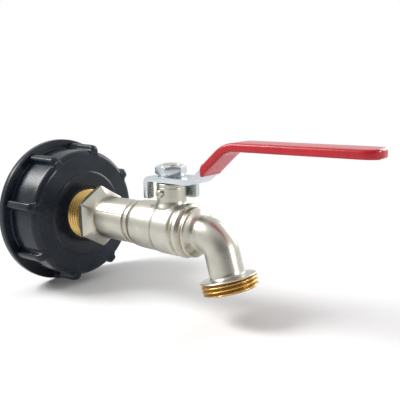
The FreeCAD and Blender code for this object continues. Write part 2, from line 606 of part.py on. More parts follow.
def hose_thread():
    """Collar and G 3/4 hose thread, built along X and then laid on the spout axis."""
    thread_start = SPOUT_LENGTH + HOSE_COLLAR
    end = thread_start + HOSE_THREAD_LENGTH
    outline = thread_outline(thread_start, end, G34_RADIUS, G34_DEPTH, G34_PITCH, 0.0)
    collar = spin_x([
        (SPOUT_LENGTH, 0.0),
        (SPOUT_LENGTH, PIPE_RADIUS + 1.0),
        (SPOUT_LENGTH + 0.3, G34_RADIUS - 0.4),
        (SPOUT_LENGTH + HOSE_COLLAR - 0.2, G34_RADIUS - 0.1),
        (thread_start, G34_RADIUS - G34_DEPTH),
        (thread_start, 0.0),
    ])
    piece = spin_x(outline).fuse(collar)
    piece.rotate(Vector(0, 0, 0), AXIS_Y, BEND_ANGLE)
    piece.translate(SPOUT_ORIGIN)
    return piece


def body_neck():
    """The boss that the stem stands in, with its forged flare."""
    foot = math.sqrt(CHAMBER_SWELL_RADIUS ** 2 - NECK_RADIUS ** 2)
    return spin_z([
        (0.0, foot - 1.0),
        (NECK_RADIUS + NECK_FLARE, foot - 1.0),
        (NECK_RADIUS + NECK_FLARE, foot),
        (NECK_RADIUS, foot + NECK_FLARE_HEIGHT),
        (NECK_RADIUS, NECK_TOP - NECK_TOP_CHAMFER),
        (NECK_RADIUS - NECK_TOP_CHAMFER, NECK_TOP),
        (0.0, NECK_TOP),
    ])


def body_spaces():
    """Everything hollow in the body: screwed joint, ball cavity, seat pocket, bore and stem bore."""
    thread_end = SPIGOT_END + 0.2
    pocket = STEM_X + POCKET_FRONT
    back = STEM_X + SEAT_BACK
    inside = spin_x([
        (BARREL_END - 1, 0.0),
        (BARREL_END - 1, SPIGOT_RADIUS + THREAD_GAP),
        (thread_end, SPIGOT_RADIUS + THREAD_GAP),
        (thread_end, BALL_CAVITY_RADIUS),
        (pocket, BALL_CAVITY_RADIUS),
        (pocket, SEAT_OUTER_RADIUS + SEAL_GAP),
        (back, SEAT_OUTER_RADIUS + SEAL_GAP),
        (back, PIPE_BORE_RADIUS),
        (back + 1.0, PIPE_BORE_RADIUS),
        (back + 1.0, 0.0),
    ])
    waterway = bent_bar(PIPE_BORE_RADIUS, back, SPOUT_LENGTH + HOSE_COLLAR + HOSE_THREAD_LENGTH + 1)
    stem_pocket = rod_z(STEM_FLANGE_RADIUS + STEM_FLANGE_PLAY, 0, BODY_ROOF)
    stem_bore = rod_z(NECK_BORE_RADIUS, 0, NECK_TOP + 1)
    return [inside, waterway, stem_pocket, stem_bore, seat_ring_groove(1), pin_space()]


def make_valve_body():
    """Forged body: chamber, stem neck, elbow and hose thread in one piece."""
    thread_end = SPOUT_LENGTH + HOSE_COLLAR + HOSE_THREAD_LENGTH
    pipe = bent_bar(PIPE_RADIUS, CHAMBER_END, SPOUT_LENGTH + 0.5)
    body = chamber_outside().fuse([pipe, hose_thread(), body_neck()])
    body = body.cut(body_spaces())
    end_bevel = spin_x([
        (thread_end - HOSE_END_CHAMFER, G34_RADIUS + 1),
        (thread_end - HOSE_END_CHAMFER, G34_RADIUS),
        (thread_end, G34_RADIUS - G34_DEPTH - 0.1),
        (thread_end + 1, G34_RADIUS - G34_DEPTH - 0.1),
        (thread_end + 1, G34_RADIUS + 1),
    ])
    end_bevel.rotate(Vector(0, 0, 0), AXIS_Y, BEND_ANGLE)
    end_bevel.translate(SPOUT_ORIGIN)
    return body.cut(end_bevel).removeSplitter()


# ---------------------------------------------------------------- stop pin
def pin_direction(turn=0.0):
    """Outward direction of the stop pin, or of its slot's far end after a turn."""
    angle = math.radians(PIN_DIRECTION + turn)
    return Vector(math.cos(angle), math.sin(angle), 0)


def pin_place(radius):
    """A point on the pin's axis, at a distance from the stem axis."""
    return Vector(STEM_X, 0, PIN_HEIGHT) + pin_direction() * radius


def pin_head_start():
    """Where the pin's head starts, sunk a little into the round neck."""
    return NECK_RADIUS - PIN_HEAD_SINK


def pin_space():
    """The stepped hole in the neck that the pin is pressed into."""
    shank = Part.makeCylinder(PIN_RADIUS, NECK_RADIUS, pin_place(0.0), pin_direction())
    head = Part.makeCylinder(PIN_HEAD_RADIUS, 3.0, pin_place(pin_head_start()), pin_direction())
    return shank.fuse(head)


def make_stop_pin():
    """Pressed pin whose end runs in the stem's slot and stops the lever at both ends of its travel."""
    reach = STEM_RADIUS - PIN_REACH
    shank = Part.makeCylinder(PIN_RADIUS, pin_head_start() - reach, pin_place(reach), pin_direction())
    length = PIN_HEAD_LENGTH + NECK_RADIUS - pin_head_start()
    head = Part.makeCylinder(PIN_HEAD_RADIUS, length, pin_place(pin_head_start()), pin_direction())
    tip = NECK_RADIUS + PIN_HEAD_LENGTH
    outer_rim = edges_where(head, lambda p: (p - pin_place(0.0)).dot(pin_direction()) > tip - 0.05)
    head = head.makeFillet(0.4, outer_rim)
    dimple = Part.makeCylinder(PIN_DIMPLE_RADIUS, 1.0, pin_place(tip - PIN_DIMPLE_DEPTH), pin_direction())
    return shank.fuse(head).cut(dimple).removeSplitter()


# ---------------------------------------------------------------- lever and grip
def lever_line():
    """Corners of the lever's middle line, side on: foot, two bends and tip, from the stem axis."""
    middle = LEVER_BASE + LEVER_THICKNESS / 2.0
    return [
        Vector(-(REAR_TAB_FACE - TAB_BEND_RADIUS), 0, middle),
        Vector(LEVER_FOOT_BEND_X, 0, middle),
        Vector(LEVER_HEAD_BEND_X, 0, middle + LEVER_RISE),
        Vector(LEVER_REACH, 0, middle + LEVER_RISE),
    ]


def bent_strip(thickness, width, start_x, end_x):
    """The lever's strip: its middle line thickened and given a width, between two places along X."""
    corners = lever_line()
    slope = math.atan2(LEVER_RISE, LEVER_HEAD_BEND_X - LEVER_FOOT_BEND_X)
    half = thickness / 2.0
    shift = half * math.tan(slope / 2.0)
    foot = LEVER_FOOT_BEND_RADIUS
    head = LEVER_HEAD_BEND_RADIUS
    sides = []
    for up, foot_radius, head_radius in ((1, foot - half, head + half), (-1, foot + half, head - half)):
        line = [
            Vector(corners[0].x, 0, corners[0].z + up * half),
            Vector(corners[1].x - up * shift, 0, corners[1].z + up * half),
            Vector(corners[2].x - up * shift, 0, corners[2].z + up * half),
            Vector(end_x, 0, corners[3].z + up * half),
        ]
        sides.append(rounded_path(line, [foot_radius, head_radius]))
    top, bottom = sides
    first_top = top[0].Vertexes[0].Point
    first_bottom = bottom[0].Vertexes[0].Point
    last_top = top[-1].Vertexes[-1].Point
    last_bottom = bottom[-1].Vertexes[-1].Point
    ends = [Part.makeLine(first_top, first_bottom), Part.makeLine(last_top, last_bottom)]
    outline = Part.Wire(Part.__sortEdges__(top + bottom + ends))
    strip = Part.Face(outline).extrude(Vector(0, width, 0))
    strip.translate(Vector(STEM_X, -width / 2.0, 0))
    if start_x > corners[0].x:
        behind = Part.makeBox(200, 60, 80, Vector(STEM_X + start_x - 200, -30, LEVER_BASE - 40))
        strip = strip.cut(behind)
    return strip


def rounded_path(points, radii):
    """Straight runs joined by tangent arcs, one radius for each inner corner."""
    edges = []
    start = points[0]
    for k, radius in enumerate(radii):
        before = (points[k] - points[k + 1]).normalize()
        after = (points[k + 2] - points[k + 1]).normalize()
        turn = math.pi - before.getAngle(after)
        tangent = radius * math.tan(turn / 2.0)
        first = points[k + 1] + before * tangent
        last = points[k + 1] + after * tangent
        centre_line = (before + after).normalize()
        centre = points[k + 1] + centre_line * (radius / math.cos(turn / 2.0))
        middle = centre - centre_line * radius
        edges.append(Part.makeLine(start, first))
        edges.append(Part.Arc(first, middle, last).toShape())
        start = last
    edges.append(Part.makeLine(start, points[-1]))
    return edges


def round_tip(strip, radius):
    """Round the two corners at the lever's far end, seen from above."""
    far = strip.BoundBox.XMax
    edges = edges_where(strip, lambda p: p.x > far - 0.01)
    upright = [e for e in edges if e.BoundBox.ZLength > e.BoundBox.YLength]
    return strip.makeFillet(radius, upright)


def bent_tab(width, root):
    """A tab bent down from an edge at the origin, standing along +X, with a flat root behind it."""
    inner = TAB_BEND_RADIUS
    outer = TAB_BEND_RADIUS + LEVER_THICKNESS
    bottom = TAB_FOOT - LEVER_TOP
    arc_top = Vector(0, 0, 0)
    arc_mid = Vector(outer * math.sin(math.pi / 4), 0, outer * math.cos(math.pi / 4) - outer)
    arc_end = Vector(outer, 0, -outer)
    inner_end = Vector(inner, 0, -outer)
    inner_mid = Vector(inner * math.sin(math.pi / 4), 0, inner * math.cos(math.pi / 4) - outer)
    inner_start = Vector(0, 0, -LEVER_THICKNESS)
    edges = [
        Part.Arc(arc_top, arc_mid, arc_end).toShape(),
        Part.makeLine(arc_end, Vector(outer, 0, bottom)),
        Part.makeLine(Vector(outer, 0, bottom), Vector(inner, 0, bottom)),
        Part.makeLine(Vector(inner, 0, bottom), inner_end),
        Part.Arc(inner_end, inner_mid, inner_start).toShape(),
        Part.makeLine(inner_start, Vector(-root, 0, -LEVER_THICKNESS)),
        Part.makeLine(Vector(-root, 0, -LEVER_THICKNESS), Vector(-root, 0, 0)),
        Part.makeLine(Vector(-root, 0, 0), arc_top),
    ]
    tab = Part.Face(Part.Wire(edges)).extrude(Vector(0, width, 0))
    foot = edges_where(tab, lambda p: p.z < bottom + 0.01)
    across = [e for e in foot if e.BoundBox.XLength > 1.0]
    return tab.makeFillet(width * 0.2, across)


def lever_strip():
    """The lever's bent strip with its rounded tip, before its tabs and hole."""
    strip = bent_strip(LEVER_THICKNESS, LEVER_WIDTH, -REAR_TAB_FACE, LEVER_REACH)
    return round_tip(strip, LEVER_TIP_RADIUS)


def make_lever_plate():
    """Plated steel lever: foot with two tabs bent down, rise, and the flat that the grip covers."""
    strip = lever_strip()
    rear = bent_tab(REAR_TAB_WIDTH, TAB_BEND_RADIUS)
    rear.rotate(Vector(0, 0, 0), AXIS_Z, 180)
    rear.translate(Vector(
        STEM_X - REAR_TAB_FACE + TAB_BEND_RADIUS, REAR_TAB_WIDTH - LEVER_WIDTH / 2.0, LEVER_TOP))
    edge = SIDE_TAB_FACE - TAB_BEND_RADIUS
    side = bent_tab(SIDE_TAB_END - SIDE_TAB_START, edge)
    side.rotate(Vector(0, 0, 0), AXIS_Z, 90)
    side.translate(Vector(STEM_X + SIDE_TAB_END, edge, LEVER_TOP))
    lever = strip.fuse([rear, side])
    hole = rod_z(STEM_RADIUS + SLIP_GAP, LEVER_BASE - 1, LEVER_TOP + 1)
    width = STEM_FLATS + 2 * SLIP_GAP
    corner = Vector(STEM_X - 2 * STEM_RADIUS, -width / 2.0, LEVER_BASE - 2)
    flats = Part.makeBox(4 * STEM_RADIUS, width, LEVER_THICKNESS + 4, corner)
    return lever.cut(hole.common(flats)).removeSplitter()


def make_lever_sleeve():
    """Red vinyl sleeve, dipped over the rise and the flat of the lever."""
    thickness = LEVER_THICKNESS + 2 * SLEEVE_WALL
    width = LEVER_WIDTH + 2 * SLEEVE_WALL
    outside = bent_strip(thickness, width, SLEEVE_START, LEVER_REACH + SLEEVE_WALL)
    outside = round_tip(outside, LEVER_TIP_RADIUS + SLEEVE_WALL)
    long_edges = []
    for edge in outside.Edges:
        box = edge.BoundBox
        if box.XMin > STEM_X + SLEEVE_START - 0.01 and box.XLength > 0.5:
            long_edges.append(edge)
    outside = outside.makeFillet(SLEEVE_EDGE_ROUND, long_edges)
    return outside.cut(lever_strip())


def make_lock_washer():
    """Thin locking washer under the nut."""
    washer = rod_z(WASHER_RADIUS, LEVER_TOP, NUT_BASE)
    return washer.cut(rod_z(STEM_RADIUS + 0.3, 0, STEM_TOP))


def make_handle_nut():
    """M8 nut that holds the lever down on the stem."""
    corner = NUT_ACROSS_FLATS / 2.0 / math.cos(math.radians(30))
    points = []
    for k in range(6):
        angle = math.radians(NUT_TURN + 30 + 60 * k)
        points.append(Vector(STEM_X + corner * math.cos(angle), corner * math.sin(angle), NUT_BASE))
    nut = Part.Face(Part.makePolygon(points + [points[0]])).extrude(Vector(0, 0, NUT_HEIGHT))
    top = NUT_BASE + NUT_HEIGHT
    flat = NUT_ACROSS_FLATS / 2.0 - 0.3
    drop = (corner - flat) * math.tan(math.radians(30))
    turned = spin_z([
        (0.0, NUT_BASE), (flat, NUT_BASE), (corner, NUT_BASE + drop),
        (corner, top - drop), (flat, top), (0.0, top),
    ])
    return nut.common(turned).cut(rod_z(STEM_RADIUS + THREAD_GAP, 0, STEM_TOP + 1))


# ---------------------------------------------------------------- export
PIECES = {
    "tank_cap": make_tank_cap(),
    "cap_gasket": make_cap_gasket(),
    "bore_seal": make_bore_seal(),
    "inlet_fitting": make_inlet_fitting(),
    "joint_ring": make_joint_ring(),
    "valve_body": make_valve_body(),
    "ball": make_ball(),
    "inlet_seat": make_seat(-1),
    "outlet_seat": make_seat(1),
    "inlet_seat_ring": make_seat_ring(-1),
    "outlet_seat_ring": make_seat_ring(1),
    "stem": make_stem(),
    "thrust_washer": make_thrust_washer(),
    "lower_stem_ring": make_stem_ring(LOWER_RING_HEIGHT),
    "upper_stem_ring": make_stem_ring(UPPER_RING_HEIGHT),
    "stop_pin": make_stop_pin(),
    "lever_plate": make_lever_plate(),
    "lever_sleeve": make_lever_sleeve(),
    "lock_washer": make_lock_washer(),
    "handle_nut": make_handle_nut(),
}

os.makedirs("parts", exist_ok=True)
for name, shape in PIECES.items():
    shape.exportStep("parts/" + name + ".step")
    print(name, shape.ShapeType, len(shape.Solids), shape.isValid(), round(shape.Volume, 2))
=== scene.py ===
import json
import math

import bmesh
import bpy
from bpy.props import FloatProperty, FloatVectorProperty, IntProperty, PointerProperty
from mathutils import Matrix, Vector


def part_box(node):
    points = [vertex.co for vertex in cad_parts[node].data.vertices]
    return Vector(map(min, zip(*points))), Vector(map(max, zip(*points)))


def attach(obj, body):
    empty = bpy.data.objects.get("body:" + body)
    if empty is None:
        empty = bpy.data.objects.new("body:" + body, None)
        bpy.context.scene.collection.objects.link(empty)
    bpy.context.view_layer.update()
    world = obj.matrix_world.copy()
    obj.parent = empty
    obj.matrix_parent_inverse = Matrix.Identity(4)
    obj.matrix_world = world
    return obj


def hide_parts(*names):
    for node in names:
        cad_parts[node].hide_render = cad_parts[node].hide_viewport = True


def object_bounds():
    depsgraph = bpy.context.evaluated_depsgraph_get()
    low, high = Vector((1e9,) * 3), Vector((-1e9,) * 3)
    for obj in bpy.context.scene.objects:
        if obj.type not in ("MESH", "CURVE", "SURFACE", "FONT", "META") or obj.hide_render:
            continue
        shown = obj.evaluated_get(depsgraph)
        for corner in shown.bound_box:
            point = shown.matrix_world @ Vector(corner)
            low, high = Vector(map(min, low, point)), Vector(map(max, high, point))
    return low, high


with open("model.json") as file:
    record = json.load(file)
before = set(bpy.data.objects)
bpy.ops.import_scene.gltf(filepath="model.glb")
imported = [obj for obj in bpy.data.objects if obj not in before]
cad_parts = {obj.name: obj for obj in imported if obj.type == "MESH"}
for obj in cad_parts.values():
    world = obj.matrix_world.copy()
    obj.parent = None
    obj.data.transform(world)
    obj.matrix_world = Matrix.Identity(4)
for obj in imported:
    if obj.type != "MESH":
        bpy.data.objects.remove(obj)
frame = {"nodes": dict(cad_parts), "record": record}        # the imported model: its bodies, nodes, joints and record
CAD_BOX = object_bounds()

bl_info = {
    "name": "Tank Ball Tap",
    "version": (1, 0, 0),
    "blender": (4, 5, 0),
    "location": "View3D > Sidebar > Tank Tap",
    "description": "Builds a quarter-turn ball tap on a ribbed tank cap round its packed frame",
    "category": "Object",
}

# Meshes are modelled in millimetres on the part's own axes and scaled to metres when they are finished.
MM = 0.001
AXIS_X, AXIS_Y, AXIS_Z = Vector((1, 0, 0)), Vector((0, 1, 0)), Vector((0, 0, 1))
FIXED, TURNING = "tap", "lever_and_ball"


def box_mm(node):
    """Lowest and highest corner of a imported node, in millimetres."""
    low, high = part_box(node)
    return low / MM, high / MM


# ---------------------------------------------------------------- places taken from the frame
CAP_HIGH = box_mm("tank_cap")[1]
INLET_LOW, INLET_HIGH = box_mm("inlet_fitting")
BODY_LOW, BODY_HIGH = box_mm("valve_body")
LEVER_HIGH = box_mm("lever_plate")[1]
GRIP_LOW, GRIP_HIGH = box_mm("lever_sleeve")
STEM = Vector(frame["record"]["behaviour"]["joints"][0]["pos_m"]) / MM
HOSE = next(m for m in frame["record"]["mounts"] if m["name"] == "hose_thread")
TANK = next(m for m in frame["record"]["mounts"] if m["name"] == "tank_thread")
SPOUT_WAY = Vector(HOSE["axis"]).normalized()
SPOUT_TURN = math.acos(SPOUT_WAY.x)
PAD_FRONT = CAP_HIGH.x
RIM_RADIUS = CAP_HIGH.y
JOINT_X = BODY_LOW.x
NECK_TOP = BODY_HIGH.z
THREAD_RADIUS = HOSE["dims"]["r_mm"]

# the cap
PAD_HEIGHT = 0.8        # of the raised ring on the front face
CAP_FLOOR = 5.6         # thickness of the cup's floor
TANK_THREAD_DEPTH = 2.8
RIB_START = 2.0         # inside the rim
RIB_HEIGHT = 3.6        # above the cup, at the rim
RIB_FALL = 0.6          # how much lower a rib is at the front
RIB_ROUND = 3.2         # of the front end, over into the cup
RIB_SLIMMING = 0.3      # share of the width lost round the front end
RIB_FIRST_ANGLE = 166.0     # degrees from +Y towards +Z
WINDOW_SIZE = (6.2, 2.4)    # along the tap, and up from the cup
WINDOW_RIBS = (2, 6)

# the waterway and the joint of inlet and body
INLET_BORE = 7.6
BODY_BORE = 5.4
SPIGOT_RADIUS = 9.7
SEAT_POCKET = 8.33
CAVITY_RADIUS = 9.1
THREAD_RELIEF = 11.7
HEX_END = 41.1          # of the taper behind the hexagon
GROOVE_BACK = 3.5       # from the joint back to the barrel's groove
PARTING_ANGLE = 60      # of the barrel's parting line, degrees from +Z

# the elbow, from the spout's axis
BEND_RADIUS = 10.5
BEND_TANGENT = BEND_RADIUS * math.tan(SPOUT_TURN / 2)
SPOUT_CORNER = Vector(HOSE["pos_m"]) / MM
SPOUT_CORNER -= SPOUT_WAY * (SPOUT_CORNER.z / SPOUT_WAY.z)
BEND_START = SPOUT_CORNER.x - BEND_TANGENT
THREAD_START = 19.9     # from the corner down the spout
THREAD_END = 25.3

# the lever's middle line, from the lever's box
LEVER_WIDTH = 13.7
LEVER_HALF = 1.25       # half its thickness
LEVER_TIP = 6.0
LEAD_IN = 6.0           # stretch of the grip behind its lip
LEVER_BEND = 13.0       # radius of its middle line at the upper bend
LEVER_HEAD_X = STEM.x + 36.1
LEVER_HEAD_Z = LEVER_HIGH.z - LEVER_HALF
LEVER_SLOPE = math.atan2(16.95, 36.1 - 17.0)
LEVER_TANGENT = LEVER_BEND * math.tan(LEVER_SLOPE / 2)


# ---------------------------------------------------------------- sizes and colours to change
def length(name, text, millimetres):
    """A length property with a default given in millimetres."""
    return FloatProperty(name=name, description=text, default=millimetres * MM, unit="LENGTH", precision=5)


def tint(name, text, colour):
    """A colour property."""
    return FloatVectorProperty(
        name=name, description=text, default=colour, subtype="COLOR", size=3, min=0, max=1)


class CapSizes(bpy.types.PropertyGroup):
    cup_radius: length("Cup radius", "Outside radius of the cap's cup", 34.0)
    rim_thickness: length("Rim thickness", "Thickness of the rim at the mouth", 4.0)
    rib_width: length("Rib width", "Width of each grip rib", 4.4)
    rib_count: IntProperty(name="Ribs", description="Number of grip ribs round the cup", default=8, min=2)
    thread_pitch: length("Tank thread pitch", "Pitch of the coarse thread inside the cap", 6.0)


class TapSizes(bpy.types.PropertyGroup):
    thread_depth: length("Pipe thread depth", "Height of the pipe threads' profile", 1.16)
    thread_pitch: length("Pipe thread pitch", "Pitch of the pipe threads", 1.814)
    hexagon: length("Hexagon", "Across the flats of the inlet's hexagon", 28.0)
    barrel_radius: length("Barrel radius", "Radius of the inlet's barrel", 10.9)
    chamber_radius: length("Chamber radius", "Radius of the body round the ball", 12.7)
    pipe_radius: length("Pipe radius", "Outside radius of the elbow and the spout", 8.05)
    neck_radius: length("Neck radius", "Radius of the neck round the stem", 7.0)
    parting_height: length("Parting line", "Height of the forging's parting line", 0.13)


class LeverSizes(bpy.types.PropertyGroup):
    sleeve_round: length("Grip rounding", "Rounding along the grip's edges", 1.3)
    lip: length("Grip lip", "Bulge of the dipped grip at its open end", 0.18)
    sheared_edge: length("Sheared edge", "Rounding of the pressed steel's edges", 0.28)
    nut_edge: length("Nut edge", "Rounding of the nut's edges", 0.14)


class Finishes(bpy.types.PropertyGroup):
    plastic: tint("Cap plastic", "Moulded cap", (0.006, 0.0095, 0.0155))
    rubber: tint("Rubber", "Seals and gaskets", (0.014, 0.014, 0.015))
    nickel: tint("Nickel plating", "Blasted and plated forgings", (0.56, 0.545, 0.475))
    brass: tint("Bare brass", "Turned threads", (0.76, 0.53, 0.19))
    steel: tint("Zinc plating", "Lever, washer and nut", (0.55, 0.62, 0.64))
    vinyl: tint("Grip vinyl", "Dipped grip", (0.42, 0.008, 0.018))
    white: tint("Seat plastic", "Seats and washer", (0.78, 0.78, 0.74))
    chrome: tint("Ball plating", "Polished ball", (0.72, 0.73, 0.75))


# ---------------------------------------------------------------- modelling tools
def wire(bm, points, closed=True, origin=(0, 0, 0)):
    """Lay a wire of (x, z) points from the origin, and round the corners that carry a third number."""
    start = Vector(origin)
    verts = [bm.verts.new(start + Vector((p[0], 0, p[1]))) for p in points]
    ring = verts[1:] + verts[:1] if closed else verts[1:]
    for pair in zip(verts, ring):
        bm.edges.new(pair)
    rounds = {}
    for vert, point in zip(verts, points):
        if len(point) > 2:
            rounds.setdefault(point[2], []).append(vert)
    for size, corners in sorted(rounds.items()):
        bmesh.ops.bevel(
            bm, geom=corners, offset=size, offset_type="OFFSET", segments=5 if size > 0.4 else 3,
            profile=0.5, affect="VERTICES", material=-1, clamp_overlap=True)


def divide(bm, longest, test=None):
    """Cut every edge of a wire that is longer than a length."""
    groups = {}
    for edge in bm.edges:
        cuts = math.ceil(edge.calc_length() / longest) - 1
        if cuts > 0 and (test is None or test(edge)):
            groups.setdefault(cuts, []).append(edge)
    for cuts, edges in sorted(groups.items()):
        bmesh.ops.subdivide_edges(bm, edges=edges, cuts=cuts)


def turn_full(bm, axis, steps, centre=(0, 0, 0)):
    """Spin everything in the mesh once round an axis and close it."""
    bmesh.ops.spin(
        bm, geom=bm.verts[:] + bm.edges[:], cent=centre, axis=axis, dvec=(0, 0, 0),
        angle=2 * math.pi, steps=steps, use_merge=True, use_duplicate=False)
    bmesh.ops.remove_doubles(bm, verts=bm.verts, dist=1e-4)
    bmesh.ops.recalc_face_normals(bm, faces=bm.faces)


def turned(points, steps=128, axis=AXIS_X, origin=(0, 0, 0), longest=None, test=None):
    """A closed turned shape from a closed outline."""
    bm = bmesh.new()
    wire(bm, points, True, origin)
    if longest:
        divide(bm, longest, test)
    turn_full(bm, axis, steps, origin)
    return bm


def boundary(bm, test=lambda centre: True):
    """The open edges whose middle passes a test."""
    edges = [e for e in bm.edges if len(e.link_faces) == 1]
    return [e for e in edges if test((e.verts[0].co + e.verts[1].co) / 2)]


def split(geometry):
    """The edges and the vertices among the parts that an operator returns."""
    edges = [part for part in geometry if isinstance(part, bmesh.types.BMEdge)]
    return edges, [part for part in geometry if isinstance(part, bmesh.types.BMVert)]


def carry(bm, edges):
    """Extrude a loop on the spot and return its new edges and vertices."""
    return split(bmesh.ops.extrude_edge_only(bm, edges=edges)["geom"])


def set_radius(vert, radius):
    """Move a vertex in or out from the X axis."""
    now = math.hypot(vert.co.y, vert.co.z)
    vert.co.y *= radius / now
    vert.co.z *= radius / now


def take_in(bm, other):
    """Move everything of another mesh into a mesh."""
    mesh = bpy.data.meshes.new("work_copy")
    other.to_mesh(mesh)
    other.free()
    bm.from_mesh(mesh)
    bpy.data.meshes.remove(mesh)


def round_bar(radius, length_mm, place, segments):
    """A round bar along Z, moved to its place."""
    bm = bmesh.new()
    bmesh.ops.create_cone(
        bm, cap_ends=True, cap_tris=False, segments=segments, radius1=radius, radius2=radius, depth=length_mm,
        matrix=place)
    return bm


def as_object(bm, name):
    """Put a mesh into the scene for a moment, so that a modifier can work on it."""
    mesh = bpy.data.meshes.new(name)
    bm.to_mesh(mesh)
    bm.free()
    thing = bpy.data.objects.new(name, mesh)
    bpy.context.scene.collection.objects.link(thing)
    return thing


def combined(bm, tool, operation):
    """Join two closed meshes, or cut one from the other, and return the result."""
    first = as_object(bm, "work_piece")
    second = as_object(tool, "work_tool")
    step = first.modifiers.new("combine", "BOOLEAN")
    step.operation = operation
    step.solver = "EXACT"
    step.object = second
    bpy.context.view_layer.update()
    result = bpy.data.meshes.new_from_object(first.evaluated_get(bpy.context.evaluated_depsgraph_get()))
    if not result.polygons:
        raise RuntimeError("a combining step left nothing")
    out = bmesh.new()
    out.from_mesh(result)
    for thing in (first, second):
        mesh = thing.data
        bpy.data.objects.remove(thing)
        bpy.data.meshes.remove(mesh)
    bpy.data.meshes.remove(result)
    bmesh.ops.remove_doubles(out, verts=out.verts, dist=1e-4)
    return out


def relax(bm, test, times):
    """Soften a crease the way a forging die or a mould leaves it."""
    chosen = [v for v in bm.verts if test(v.co)]
    for _ in range(times):
        bmesh.ops.smooth_vert(bm, verts=chosen, factor=0.5, use_axis_x=True, use_axis_y=True, use_axis_z=True)


def finish_piece(bm, name, body, finish, replaced, crease=32.0):
    """Turn a mesh into a finished piece: metres, smooth shading, its body, slot and replaced node."""
    bmesh.ops.scale(bm, vec=(MM, MM, MM), verts=bm.verts)
    mesh = bpy.data.meshes.new(name)
    bm.to_mesh(mesh)
    bm.free()
    mesh.shade_smooth()
    mesh.set_sharp_from_angle(angle=math.radians(crease))
    mesh.materials.append(FINISH[finish])
    piece = bpy.data.objects.new(name, mesh)
    bpy.context.scene.collection.objects.link(piece)
    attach(piece, body)
    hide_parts(replaced)


def helix_skin(points, pitch, start, turns, steps):
    """An open screw surface: a wire one pitch long, or a closed wire, carried round the X axis."""
    bm = bmesh.new()
    closed = points[0] != points[-1] and abs(points[-1][0] - points[0][0] - pitch) > 1e-6
    wire(bm, [(x + start, *rest) for x, *rest in points], closed)
    bmesh.ops.spin(
        bm, geom=bm.verts[:] + bm.edges[:], cent=(0, 0, 0), axis=AXIS_X, dvec=(pitch / steps, 0, 0),
        angle=2 * math.pi * turns, steps=int(steps * turns), use_merge=False, use_duplicate=False)
    bmesh.ops.remove_doubles(bm, verts=bm.verts, dist=2e-4)
    return bm


def male_thread(start, end, crest, depth, pitch, bore, end_bevel=0.0, start_bevel=0.0):
    """A threaded ring with a real helix, cut flat at both ends and bored through."""
    flat = pitch / 8.0
    flank = (pitch - 2 * flat) / 2.0
    root = crest - depth
    points = [
        (0.0, root), (flat / 2, root), (flat / 2 + flank, crest, 0.09),
        (flat / 2 + flank + flat, crest, 0.09), (pitch - flat / 2, root), (pitch, root)]
    turns = math.ceil((end - start) / pitch) + 3
    bm = helix_skin(points, pitch, start - 2 * pitch, turns, 96)
    for x, outside in ((start, -AXIS_X), (end, AXIS_X)):
        bmesh.ops.bisect_plane(
            bm, geom=bm.verts[:] + bm.edges[:] + bm.faces[:], dist=1e-5, plane_co=(x, 0, 0), plane_no=outside,
            use_snap_center=False, clear_outer=True, clear_inner=False)
    for vert in bm.verts:
        limit = crest
        if end_bevel:
            limit = min(limit, root - 0.1 + (end - vert.co.x) * (depth + 0.1) / end_bevel)
        if start_bevel:
            limit = min(limit, root - 0.1 + (vert.co.x - start) * (depth + 0.1) / start_bevel)
        if math.hypot(vert.co.y, vert.co.z) > limit:
            set_radius(vert, limit)
    bmesh.ops.holes_fill(bm, edges=boundary(bm), sides=0)
    bmesh.ops.recalc_face_normals(bm, faces=bm.faces)
    place = Matrix.Translation(((start + end) / 2, 0, 0)) @ Matrix.Rotation(math.pi / 2, 4, "Y")
    return combined(bm, round_bar(bore, end - start + 4, place, 96), "DIFFERENCE")


def softened(node, width, segments=2, crease=30.0):
    """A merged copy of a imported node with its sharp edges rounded."""
    bm = bmesh.new()
    bm.from_mesh(frame["nodes"][node].data)
    bmesh.ops.scale(bm, vec=(1 / MM, 1 / MM, 1 / MM), verts=bm.verts)
    bmesh.ops.remove_doubles(bm, verts=bm.verts, dist=2e-3)
    bmesh.ops.dissolve_limit(
        bm, angle_limit=math.radians(1.0), use_dissolve_boundaries=False, verts=bm.verts, edges=bm.edges)
    sharp = [e for e in bm.edges if len(e.link_faces) == 2 and e.calc_face_angle(0) > math.radians(crease)]
    bmesh.ops.bevel(
        bm, geom=sharp, offset=width, offset_type="OFFSET", segments=segments, profile=0.5,
        affect="EDGES", material=-1, clamp_overlap=True, loop_slide=True)
    bmesh.ops.remove_doubles(bm, verts=bm.verts, dist=1e-3)
    bmesh.ops.recalc_face_normals(bm, faces=bm.faces)
    return bm


# ---------------------------------------------------------------- shared material effects
def socket(group, name, kind, side, default=None):
    """Add one named input or output to a node group."""
    made = group.interface.new_socket(name=name, in_out=side, socket_type=kind)
    if default is not None:
        made.default_value = default


def node(tree, kind, *links, **values):
    """Add a node, set its values, and link its inputs, given as (input, source socket)."""
    made = tree.nodes.new(kind)
    for key, value in values.items():
        setattr(made, key, value)
    for where, source in links:
        target = made.inputs[where]
        if isinstance(source, bpy.types.NodeSocket):
            tree.links.new(source, target)
        else:
            target.default_value = source
    return made


def noise(tree, place, scale, detail=3.0, roughness=0.55):
    """A noise texture's value at a place."""
    made = node(
        tree, "ShaderNodeTexNoise", ("Vector", place), ("Scale", scale), ("Detail", detail),
        ("Roughness", roughness))
    return made.outputs[0]


def ramp(tree, value, low, high, bottom=0.0, top=1.0):
    """Map a value from one range to another, clamped."""
    made = node(
        tree, "ShaderNodeMapRange", ("Value", value), ("From Min", low), ("From Max", high),
        ("To Min", bottom), ("To Max", top))
    return made.outputs[0]


def sums(tree, operation, first, second):
    """One math node."""
    return node(tree, "ShaderNodeMath", (0, first), (1, second), operation=operation).outputs[0]


